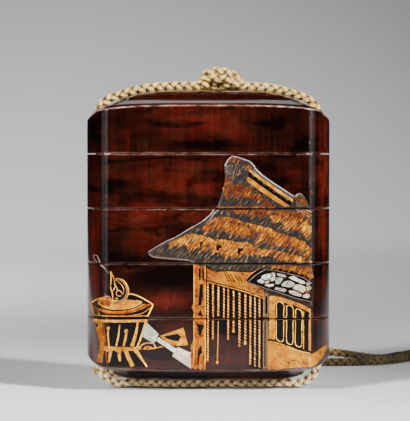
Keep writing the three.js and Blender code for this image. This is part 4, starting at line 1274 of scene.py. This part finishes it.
shellRoof = {
    "bed": [(9.9, 29.1), (12.4, 31.3), (14.6, 32.1), (17.8, 31.6), (21, 30.8), (24.4, 29.9), (26.7, 28.2),
            (26.75, 23.6), (23, 24.4), (18.2, 26), (14.4, 27.2)],
    "tiles": [
        ([(13.9, 30.5), (14.9, 31.0), (16.2, 31.1), (16.6, 30.5), (15.1, 29.3), (13.7, 29.8)], 0.82),
        ([(16.4, 31.4), (17.3, 31.2), (17.3, 29.4), (16.2, 29.0), (15.9, 29.7), (16.8, 30.4)], 0.6),
        ([(17.7, 30.2), (19.5, 29.9), (18.9, 29.1), (18.7, 28.4), (17.4, 28.4), (17.4, 29.4)], 0.12),
        ([(17.8, 31.2), (19.7, 30.8), (20.4, 30.1), (19.6, 30.2), (18.0, 30.6)], 0.65),
        ([(12.6, 29.3), (13.6, 29.7), (14.6, 29.1), (14.1, 28.5), (12.9, 28.8)], 0.45),
        ([(14.6, 29.0), (15.7, 29.3), (15.9, 28.8), (15.4, 28.5), (14.6, 28.6)], 0.58),
        ([(14.6, 28.2), (17.0, 28.4), (16.8, 27.8), (15.8, 27.6), (14.8, 27.9)], 0.98),
        ([(18.9, 28.3), (19.7, 29.0), (21.1, 29.3), (22.4, 28.6), (22.3, 27.9), (21.3, 27.5), (19.7, 27.7),
          (19, 27.9)],
         0.3),
        ([(20.8, 30.1), (22.0, 30.5), (23.5, 29.7), (24.9, 29.1), (25.1, 28.4), (23.9, 28.5), (23.2, 28.9),
          (21.5, 29.6)],
         0.95),
        ([(22.6, 28.2), (23.9, 28.2), (25.1, 27.7), (25.2, 26.6), (24.5, 26.1), (23.2, 26.7),
          (21.9, 27.2)], 0.92),
        ([(17.3, 27.5), (19.6, 27.3), (20.4, 26.8), (19.7, 26.3), (18.0, 26.7), (17.2, 27.0)], 0.25),
        ([(20.8, 26.7), (22.3, 26.6), (24.2, 25.8), (24.0, 25.1), (22.5, 25.4), (21.1, 25.9)], 0.55),
        ([(25.4, 27.4), (26.4, 28.0), (26.6, 27.2), (25.9, 26.4)], 0.35),
        ([(24.5, 25.6), (25.9, 25.9), (26.4, 25.2), (25.7, 24.6), (24.6, 24.9)], 0.5),
        ([(25.3, 29.0), (26.4, 28.7), (26.4, 28.2), (25.5, 28.0)], 0.15)],
}


def paintShellRoof():
    # a pent roof of cut shell, in a frame of thin lines, with a grey board below it
    bed = shellRoof["bed"]
    addPlate("ink", bed, 0.12, 0.12, tone=0.5)
    for outline, tone in shellRoof["tiles"]:
        addPlate("pearl", outline, 0.08, 0.24, tone, spacing=0.4)
        turn = dice.randrange(len(outline))
        far = outline[(turn + len(outline) // 2) % len(outline)]
        addStroke("ink", [outline[turn], far], 0.13, 0.03, 0.32, 0.3)     # a crack right across each piece
    addStroke("gold", [(9.3, 29.2), (11.8, 31.5), (14.4, 33)], 0.22, 0.12, 0.14, 0.5)
    addStroke("silver", [(10.5, 29.1), (12.6, 30.9), (14.9, 32.2)], 0.2, 0.12, 0.22, 0.42)
    addStroke("silver", [(10.2, 28.8), (14.4, 27.4), (18.2, 26.2), (23, 24.6), (26.7, 23.7)], 0.2, 0.12,
              0.22, 0.38)
    addStroke("lead", [(13.2, 27.2), (15, 26.5), (19, 25.3), (23, 23.9), (26.7, 22.5)], 1.1, 0.1, 0.06, 0.7)
    addTicks("ink", [(13.2, 27.2), (15, 26.5), (19, 25.3), (23, 23.9), (26.5, 22.6)], 1.0, 0.5, 0.13, 0.15,
             0.4, 25)
    addStroke("silver", [(14.9, 32.2), (18, 31.7), (21.4, 30.9), (24.6, 30), (26.7, 28.5)], 0.2, 0.1, 0.22,
              0.3)
    for line in ([(25.2, 27.2), (26.6, 28.6)], [(25.3, 26.0), (26.5, 27.3)], [(26.5, 26.1), (25.2, 27.0)]):
        addStroke("gold", line, 0.14, 0.08, 0.26, 0.6)


pail = {
    "rims": [[(-30.75, 23.1), (-29.2, 24.1), (-26.9, 24.9)],
             [(-21, 25.85), (-19, 25.55), (-17, 24.65), (-14.3, 23.05)]],
    "well": [(-28.6, 23.1), (-28.2, 24.1), (-26.8, 24.6), (-23.4, 24.1), (-20.6, 24.3), (-18.7, 24.1),
             (-17.2, 23.6), (-19.4, 22.4), (-21.7, 21.9), (-24.9, 21.8), (-27.6, 22.4)],
    "lip": [(-30.4, 22.7), (-28.2, 21.7), (-25, 21.1), (-21.8, 21.2), (-19, 21.9), (-16.4, 23.2),
            (-14.5, 23.1), (-17, 21.8), (-19.8, 20.9), (-22.5, 20.6), (-26, 20.65), (-28.9, 21.4)],
    "hoops": [([(-28.6, 23.1), (-28.2, 24.1), (-26.8, 24.8)], 0.25, 0.8),
              ([(-27.6, 22.4), (-24.9, 21.8), (-21.7, 21.9), (-19.4, 22.4), (-17.2, 23.6), (-18.7, 24.1)],
               0.24, 1.0),
              ([(-28.2, 21.8), (-25, 21.2), (-21.8, 21.3), (-19, 22), (-16.5, 23.2)], 0.2, 0.9),
              ([(-20.4, 20.2), (-17.3, 20.7), (-14.9, 22.3)], 0.24, 0.7),
              ([(-14.3, 23.05), (-15, 21.4), (-15.8, 19.9)], 0.34, 1.0),
              ([(-30.75, 23.1), (-30.4, 21.4), (-29.9, 19.9)], 0.34, 0.85),
              ([(-28.7, 21.3), (-28.3, 20.4), (-28.1, 19.9)], 0.25, 0.6),
              ([(-30, 20.1), (-23, 20.0), (-15.7, 20.1)], 0.3, 0.75),
              ([(-29.9, 18.8), (-23, 18.7), (-15.8, 18.85)], 0.7, 0.86)],
    "staves": [([(-28.7, 18.6), (-28.1, 15.6), (-27.5, 12.2)], 2.2, (1, 0.5), 0.66),
               ([(-27.2, 18.4), (-27, 15), (-26.6, 12)], 0.5, (1, 1), 0.3),
               ([(-25.9, 17.0), (-26, 15.2), (-25.8, 12.2)], 0.36, (1, 1.1), 0.85),
               ([(-23.0, 17.8), (-23.3, 15), (-23.9, 12.2)], 0.36, (0.8, 1.4), 0.9),
               ([(-21.2, 16.1), (-21.4, 14.6), (-22, 12.2)], 0.5, (1.3, 1), 0.75),
               ([(-18.3, 18.4), (-18.8, 15.3), (-19.8, 12.2)], 0.5, (0.8, 2.2), 0.85),
               ([(-16.2, 18.6), (-17.2, 15.3), (-18.5, 11.8)], 0.5, (1, 1), 0.95)],
    "knobs": [(-25.9, 16.9, 0.42, 0.8), (-21.25, 16.1, 0.55, 0.8)],
    "legs": [([(-27.5, 11.6), (-28, 9.8), (-28.4, 7.9)], 1.6, (0.7, 1), 0.66),
             ([(-26.6, 11.4), (-26.5, 9.4), (-26.2, 7.2)], 0.4, (1, 0.8), 0.35),
             ([(-25.3, 11.2), (-25.5, 9.9), (-25.8, 8)], 0.8, (1.3, 0.5), 0.7),
             ([(-23.1, 11.2), (-23.1, 9.8), (-22.9, 8.3)], 0.9, (1.3, 0.6), 0.82),
             ([(-21.5, 11.3), (-20.7, 9.2), (-19.6, 7)], 1.0, (1, 1.1), 0.82),
             ([(-19.1, 11.6), (-17.5, 9.2), (-15.9, 6.8)], 1.0, (1.2, 0.2), 0.9)],
    "steam": [("silver", [(-29.9, 35.6), (-29, 35.7), (-27.9, 33.7), (-26.8, 32.4)], 0.12, 0.7),
              ("silver", [(-29.9, 35.5), (-29.4, 34.5), (-28.2, 33.5), (-26.8, 32.3)], 0.12, 0.7),
              ("silver", [(-26.8, 32.4), (-25.9, 31.2)], 0.14, 0.5),
              ("gold", [(-25.3, 31.6), (-25.2, 29.4), (-25.3, 27.4), (-24.8, 25.6), (-24.9, 23.9)], 0.34,
               0.8),
              ("gold", [(-25.3, 31.6), (-24.5, 29.8), (-24.2, 27.9), (-24.6, 26.6)], 0.22, 0.65),
              ("straw", [(-24.2, 29.6), (-22.6, 29.4), (-21.4, 28.1), (-20.95, 26.3), (-21.5, 24.8),
                         (-22.9, 23.8), (-24.6, 23.3)], 0.7, 0.5),
              ("gold", [(-23.9, 29.8), (-22.3, 29.5), (-21.05, 28), (-20.65, 26.3), (-21.3, 24.6),
                        (-22.8, 23.5)],
               0.17, 0.95),
              ("gold", [(-23.6, 29), (-22.6, 28.3), (-21.9, 26.9), (-22.2, 25.4)], 0.16, 0.6),
              ("straw", [(-24.4, 28.6), (-23.7, 27.3), (-23.4, 26.6)], 0.3, 0.9),
              ("straw", [(-22.4, 25.9), (-22.8, 26.6), (-23.6, 26.6), (-23.9, 25.9), (-23.4, 25.2),
                         (-22.6, 25.3)],
               0.24, 1.0),
              ("straw", [(-26.9, 24.6), (-26.3, 25.2), (-25.5, 24.8), (-25.2, 23.9)], 0.35, 0.8),
              ("straw", [(-24.1, 24.7), (-23.4, 24.4)], 0.4, 0.8)],
}


def paintPail():
    # a coopered pail on splayed legs, something steaming in it, drawn in gold over black
    addPlate("ink", [(-30.7, 22.9), (-28.8, 24.4), (-26.7, 25), (-24.9, 29.3), (-23, 29.2), (-21.2, 27),
                     (-20.7, 25.6), (-19, 25.5), (-16.9, 24.5), (-14.2, 23), (-15.7, 19.5), (-18.8, 11.3),
                     (-16, 6.9), (-27.6, 6.9), (-29.2, 8), (-28.2, 11.5), (-29.9, 19.3)], 0.015, tone=0.25)
    addPlate("gold", pail["well"], 0.12, tone=0.8)
    addPlate("gold", [(-28.4, 23.2), (-27.8, 24.1), (-26, 24.3), (-24.8, 23.4), (-26, 22.5)], 0.03, 0.12,
             0.42)
    addPlate("ink", [(-22.9 + 1.9 * math.cos(a), 26.3 + 2.1 * math.sin(a)) for a in (0, 0.7, 1.4, 2.1, 2.8,
                                                                                     3.5, 4.2, 4.9, 5.6)],
             0.03, 0.11, 0.4)
    addPlate("gold", pail["lip"], 0.1, tone=0.5)
    for rim in pail["rims"]:
        addStroke("gold", rim, 0.36, 0.16, tone=1.0)
    for line, width, tone in pail["hoops"]:
        addStroke("gold", line, width, 0.16, tone=tone)
    for line, width, taper, tone in pail["staves"] + pail["legs"]:
        addStroke("gold", line, width, 0.16, tone=tone, taper=taper)
    for x, z, size, tone in pail["knobs"]:
        addPlate("gold", [(x + size * math.cos(a), z + size * math.sin(a)) for a in (0, 0.9, 1.8, 2.7, 3.6,
                                                                                     4.5, 5.4)],
                 0.17, tone=tone)
    addPlate("ink", [(-29.4, 17.9), (-28.5, 17.9), (-28.6, 17), (-29.1, 17)], 0.03, 0.16)
    addPlate("gold", [(-28.3, 12.3), (-26.6, 12.2), (-23, 12), (-18.4, 12), (-17.9, 11.4), (-19, 10.9),
                      (-20.4, 11.1), (-21.6, 10.6), (-22.6, 11.1), (-23.6, 10.6), (-24.6, 11.2),
                      (-25.8, 10.7), (-27.6, 11.2)],
             0.15, tone=0.72)
    for kind, line, width, tone in pail["steam"]:
        addStroke(kind, line, width, 0.1, 0.14, tone=tone)
    for line in ([(-18, 11.6), (-16.8, 12.8), (-14.3, 12.9), (-13.6, 11.8)],
                 [(-17.8, 11.5), (-15.5, 11.5), (-11.9, 12.1)],
                 [(-16.6, 11.7), (-15.7, 12.1), (-14.6, 11.8)]):
        addStroke("gold", line, 0.28, 0.12, tone=0.8)
    paintTools()


def paintTools():
    # a charcoal basket's dark mound, a gold scoop, and a mallet of shell
    addPlate("ink", [(-17.6, 11.2), (-15, 11.8), (-11, 11.5), (-9.5, 10.7), (-8, 9.5), (-8.9, 8.9),
                     (-12, 8.4), (-15, 8.9), (-17.6, 9.8)], 0.06, tone=0.9)
    addPlate("gold", [(-12.5, 14.9), (-6.45, 17.05), (-5.3, 12.55), (-8.6, 12.3), (-10.7, 13.2)], 0.15,
             tone=0.78)
    addPlate("ink", [(-11.6, 14.75), (-8, 15.5), (-7.1, 14.7), (-7.7, 13.5), (-9.5, 13.8), (-10.7, 14.2)],
             0.04, 0.15)
    for outline, tone in (
            ([(-16, 18.4), (-12.8, 15.35), (-14.1, 12.9), (-17.4, 14.85)], 0.4),
            ([(-12.9, 14.6), (-8.1, 11.4), (-8.9, 10.5), (-13.6, 13.7)], 0.8),
            ([(-8, 12.1), (-4.65, 10.6), (-4.45, 6.35), (-9.4, 9.65)], 0.57)):
        addPlate("pearl", outline, 0.22, 0, tone, bevel=0.08)


inlayTones = {
    "gold": [(0.0, "#2a0c03"), (0.32, "#6c2706"), (0.6, "#a65808"), (0.86, "#cb870f"), (1.0, "#e6ad33")],
    "thatch": [(0.0, "#180702"), (0.36, "#5a2204"), (0.64, "#9c5204"), (0.88, "#c98608"), (1.0, "#efb620")],
    "bare": "#1a0804",               # the ground under worn gold
    "silver": [(0.0, "#1c1413"), (0.5, "#6a5652"), (1.0, "#c8b8b0")],
    "lead": [(0.4, "#060403"), (0.54, "#130e0b"), (0.62, "#30251a"), (0.74, "#7a6238")],
    "straw": [(0.1, "#24170c"), (0.5, "#5c421c"), (0.95, "#a07028")],
    "ink": [(0.2, "#040202"), (0.6, "#090504"), (1.0, "#170f0d")],
    "pearl": [(0.0, "#d8d6be"), (0.2, "#9aae8b"), (0.4, "#eee8d4"), (0.6, "#d3a78c"), (0.8, "#a9aca0"),
              (1.0, "#d8d6be")],
    "growth": "#5f6158",             # the grey growth lines of the shell
}


def streaksAt(tree, angle, along, across, detail=3):
    # a noise drawn out along one direction of the picture, at an angle in degrees
    place = addNode(tree, "TexCoord").outputs["Object"]
    turned = addNode(tree, "Mapping", {
        "Vector": place, "Rotation": (0, math.radians(-angle), 0),
        "Scale": (along * mm, across * mm, across * mm)}, vector_type="TEXTURE")
    return addNode(tree, "TexNoise", {"Vector": turned, "Scale": 1, "Detail": detail, "Roughness": 0.6})


def goldLacquer(name, streak, strength, speckle, tones="gold", bald=0.8):
    # maki-e: gold powder laid in wet lacquer. A satin metal, red-gold to pale gold in clouds, drawn
    # with a dry brush along one way, and the brown ground showing where the powder is thin
    material, tree = newMaterial(name)
    shade = addNode(tree, "Attribute", attribute_name="tone").outputs["Fac"]
    cloud = noiseAt(tree, (0.5, 0.5, 0.5), detail=4, roughness=0.6)
    grain = noiseAt(tree, (1.8, 1.8, 1.8), detail=4, roughness=0.7)
    brushed = streaksAt(tree, *streak)
    for noise, amount in ((cloud, 1.0), (grain, speckle), (brushed, strength)):
        shade = stirred(tree, shade, noise, amount)
    colour = addNode(tree, "ValToRGB", {"Fac": shade}, inlayTones[tones])
    powder = addNode(tree, "Math", {0: brushed, 1: strength}, operation="MULTIPLY")
    powder = addNode(tree, "Math", {0: grain, 1: speckle, 2: powder}, operation="MULTIPLY_ADD")
    middle = (speckle + strength) / 2
    thin = addNode(tree, "ValToRGB", {"Fac": powder}, [(middle * bald, 1.0), (middle * (bald + 0.06), 0.0)])
    colour = addNode(tree, "Mix", {0: thin, 6: colour, 7: linear(inlayTones["bare"])}, data_type="RGBA")
    metal = addNode(tree, "Math", {0: thin, 1: -0.6, 2: 0.8}, operation="MULTIPLY_ADD")
    satin = addNode(tree, "ValToRGB", {"Fac": grain}, [(0.3, 0.5), (0.8, 0.36)])
    relief = addNode(tree, "Bump", {"Height": powder, "Distance": 0.07 * mm, "Strength": 0.7})
    closeMaterial(tree, {"Base Color": colour, "Metallic": metal, "Roughness": satin, "Normal": relief})
    return material


def silverLacquer():
    # silver powder gone grey and faintly violet with age
    material, tree = newMaterial("silverLacquer")
    tone = addNode(tree, "Attribute", attribute_name="tone").outputs["Fac"]
    grain = noiseAt(tree, (2.2, 2.2, 2.2), detail=3, roughness=0.7)
    shade = stirred(tree, tone, grain, 0.9)
    colour = addNode(tree, "ValToRGB", {"Fac": shade}, inlayTones["silver"])
    relief = addNode(tree, "Bump", {"Height": grain, "Distance": 0.04 * mm, "Strength": 0.5})
    closeMaterial(tree, {"Base Color": colour, "Metallic": 0.4, "Roughness": 0.4, "Normal": relief})
    return material


def leadLacquer():
    # near-black ground of the thatch, with single straws drawn over it in thin olive gold
    material, tree = newMaterial("leadLacquer")
    straws = streaksAt(tree, 51, 2.4, 0.18, 2)
    grain = noiseAt(tree, (1.6, 1.6, 1.6), detail=4, roughness=0.65)
    shade = stirred(tree, straws, grain, 0.3)
    colour = addNode(tree, "ValToRGB", {"Fac": shade}, inlayTones["lead"])
    relief = addNode(tree, "Bump", {"Height": shade, "Distance": 0.06 * mm, "Strength": 0.6})
    closeMaterial(tree, {"Base Color": colour, "Roughness": 0.45, "Specular IOR Level": 0.2,
                         "Normal": relief})
    return material


def strawLacquer():
    # thin olive-gold powder, for the single straws drawn on the black
    material, tree = newMaterial("strawLacquer")
    tone = addNode(tree, "Attribute", attribute_name="tone").outputs["Fac"]
    grain = noiseAt(tree, (1.8, 1.8, 1.8), detail=3)
    shade = stirred(tree, tone, grain, 0.6)
    colour = addNode(tree, "ValToRGB", {"Fac": shade}, inlayTones["straw"])
    closeMaterial(tree, {"Base Color": colour, "Metallic": 0.35, "Roughness": 0.42})
    return material


def inkLacquer():
    # flat black-brown lacquer lines and grounds within the gold
    material, tree = newMaterial("inkLacquer")
    tone = addNode(tree, "Attribute", attribute_name="tone").outputs["Fac"]
    grain = noiseAt(tree, (1.2, 1.2, 1.2), detail=3)
    shade = stirred(tree, tone, grain, 0.5)
    colour = addNode(tree, "ValToRGB", {"Fac": shade}, inlayTones["ink"])
    closeMaterial(tree, {"Base Color": colour, "Roughness": 0.24, "Specular IOR Level": 0.2})
    return material


def pearlShell():
    # mother-of-pearl: bright, with green and rose that drifts across each piece, and a painted sheen that
    # turns the hue with the angle of view
    material, tree = newMaterial("motherOfPearl")
    tone = addNode(tree, "Attribute", attribute_name="tone").outputs["Fac"]
    drift = noiseAt(tree, (0.35, 0.35, 0.5), detail=2, distortion=1.2)
    growth = noiseAt(tree, (0.3, 0.3, 1.8), detail=3, distortion=0.8)
    flake = noiseAt(tree, (1.2, 1.2, 1.5), detail=3)
    # the hue turns with the angle of view: painted sheen
    paintedSheen = addNode(tree, "LayerWeight", {"Blend": 0.4}).outputs["Facing"]
    phase = addNode(tree, "Math", {0: drift, 1: 1.1}, operation="MULTIPLY")
    for value, amount in ((paintedSheen, 0.8), (flake, 0.7), (tone, 3)):
        phase = addNode(tree, "Math", {0: value, 1: amount, 2: phase}, operation="MULTIPLY_ADD")
    phase = addNode(tree, "Math", {0: phase}, operation="FRACT")
    hue = addNode(tree, "ValToRGB", {"Fac": phase}, inlayTones["pearl"])
    bright = stirred(tree, tone, flake, 1.5)
    bright = addNode(tree, "ValToRGB", {"Fac": bright}, [(0.0, 0.3), (0.5, 0.68), (0.9, 1.0)])
    colour = addNode(tree, "Mix", {0: 1.0, 6: hue, 7: bright}, data_type="RGBA", blend_type="MULTIPLY")
    lines = addNode(tree, "ValToRGB", {"Fac": growth}, [(0.42, 0.0), (0.62, 0.3)])
    colour = addNode(tree, "Mix", {0: lines, 6: colour, 7: linear(inlayTones["growth"])}, data_type="RGBA")
    relief = addNode(tree, "Bump", {"Height": growth, "Distance": 0.03 * mm, "Strength": 0.4})
    closeMaterial(tree, {"Base Color": colour, "Metallic": 0.2, "Roughness": 0.2, "IOR": 1.6,
                         "Coat Weight": 0.5, "Coat Roughness": 0.08, "Normal": relief})
    return material


def placeInlay():
    # one mesh of gold and one of shell for each piece of the case that carries some of the picture
    metals = {
        "gold": goldLacquer("goldLacquer", (85, 2.2, 0.6), 0.5, 1.0),
        "thatch": goldLacquer("goldThatch", (51, 1.7, 0.3, 2), 1.7, 0.5, "thatch", 0.9),
        "sheet": goldLacquer("goldSheet", (-18, 6, 1.2), 0.4, 0.35),
        "silver": silverLacquer(), "lead": leadLacquer(), "straw": strawLacquer(), "ink": inkLacquer()}
    shell = {"pearl": pearlShell()}
    pieces = ["lid", "compartment_1", "compartment_2", "compartment_3", "compartment_4"]
    for (band, family), part in sorted(inlay.items()):
        name = f"{family}_on_{pieces[band]}"
        mesh = bpy.data.meshes.new(name)
        mesh.from_pydata([(x * mm, y * mm, z * mm) for x, y, z in part["vertices"]], [], part["faces"])
        obj = bpy.data.objects.new(name, mesh)
        bpy.context.scene.collection.objects.link(obj)
        attribute = mesh.attributes.new("tone", "FLOAT", "POINT")
        attribute.data.foreach_set("value", part["tones"])
        materials = metals if family == "gold" else shell
        for material in materials.values():
            mesh.materials.append(material)
        kinds = list(materials)
        mesh.polygons.foreach_set("material_index", [kinds.index(kind) for kind in part["kinds"]])
        smoothShade(mesh, 35)
        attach(obj, "root")


paintRoof()
paintHouse()
paintShellRoof()
paintPail()
placeInlay()
print("inro: picture laid")


studio = {"paper": "#dcdcdd", "front": -260, "back": 1150, "bend": 260, "top": 700, "halfWidth": 300,
          "table": "#3d3c3c", "tableReach": 1500}


def paperMaterial(name, colour):
    # matt studio paper, faintly cloudy: pale on the table and greyer up the wall by painted shade
    material, tree = newMaterial(name)
    cloudy = noiseAt(tree, (0.01, 0.01, 0.01))
    cloudy = addNode(tree, "ValToRGB", {"Fac": cloudy}, [(0.3, 0.97), (0.7, 1.0)])
    place = addNode(tree, "TexCoord").outputs["Object"]
    height = addNode(tree, "SeparateXYZ", {"Vector": place}).outputs["Z"]
    share = addNode(tree, "MapRange", {"Value": height, "From Max": 200 * mm})
    # greyer with height: painted shade up the wall
    wallShade = addNode(tree, "ValToRGB", {"Fac": share}, [(0.02, 1.0), (0.5, 0.95), (0.95, 0.85)])
    tone = addNode(tree, "Math", {0: cloudy, 1: wallShade}, operation="MULTIPLY")
    toned = addNode(tree, "Mix", {0: 1.0, 6: linear(colour), 7: tone}, data_type="RGBA",
                    blend_type="MULTIPLY")
    closeMaterial(tree, {"Base Color": toned, "Roughness": 0.9})
    return material


def makeStudio():
    # one sheet of paper: flat under the case, then bent up behind it
    bend = studio["bend"]
    line = [(studio["front"], 0), (studio["back"], 0)]
    steps = 20
    for turn in (math.pi / 2 * i / steps for i in range(1, steps + 1)):
        line.append((studio["back"] + bend * math.sin(turn), bend - bend * math.cos(turn)))
    line.append((studio["back"] + bend, studio["top"]))
    wide = studio["halfWidth"]
    vertices = [(side * wide, y, z) for y, z in line for side in (-1, 1)]
    faces = [(2 * i, 2 * i + 1, 2 * i + 3, 2 * i + 2) for i in range(len(line) - 1)]
    paper = makeObject("paper", vertices, faces, smoothAngle=40)
    paper.data.materials.append(paperMaterial("studioPaper", studio["paper"]))
    reach, under = studio["tableReach"], -0.6
    corners = [(-reach, -reach), (reach, -reach), (reach, reach), (-reach, reach)]
    table = makeObject("table", [(x, y, under) for x, y in corners], [(0, 1, 2, 3)])
    table.data.materials.append(paperMaterial("tableTop", studio["table"]))


def areaLight(name, place, aim, size, power, spread=180):
    data = bpy.data.lights.new(name, "AREA")
    data.shape = "RECTANGLE"
    data.size, data.size_y = size[0] * mm, size[1] * mm
    data.energy = power
    data.spread = math.radians(spread)
    light = bpy.data.objects.new(name, data)
    light.location = Vector(place) * mm
    light.rotation_euler = ((Vector(aim) - Vector(place)) * mm).to_track_quat("-Z", "Y").to_euler()
    light.visible_camera = False
    bpy.context.scene.collection.objects.link(light)


def lightStudio():
    # a gridded softbox on each side and a little in front, dim boards beside them for the corners
    # to mirror, a boom behind the case for its shoulder, a wash each for the table behind the case
    # and for the backdrop, and a faint lamp low down behind
    world = bpy.data.worlds.new("studio")
    bpy.context.scene.world = world
    world.use_nodes = True
    background = world.node_tree.nodes["Background"]
    background.inputs["Color"].default_value = linear("#b9bcc4")
    background.inputs["Strength"].default_value = 0.025
    areaLight("softboxRight", (540, -486, 400), (-190, 60, 0), (150, 300), 0.82, spread=20)
    areaLight("softboxLeft", (-430, -600, 400), (124, 60, 0), (150, 300), 0.48, spread=22)
    for side in (-1, 1):
        areaLight("nearBoard", (side * 300, -480, 50), (0, 0, 30), (110, 220), 0.14)
        areaLight("sideBoard", (side * 540, -170, 60), (0, 0, 45), (460, 220), 0.24)
    areaLight("boomTop", (0, 520, 760), (0, 0, 84), (600, 200), 0.052, spread=44)
    areaLight("nearWash", (-300, 360, 620), (-150, 440, 0), (500, 150), 1.18, spread=68)
    areaLight("farWash", (-250, 900, 900), (-150, 1120, 0), (500, 500), 2.8, spread=84)
    areaLight("lowBack", (0, 700, 60), (0, 0, 48), (30, 30), 0.02, spread=8)


makeStudio()
lightStudio()
print("inro: studio lit")
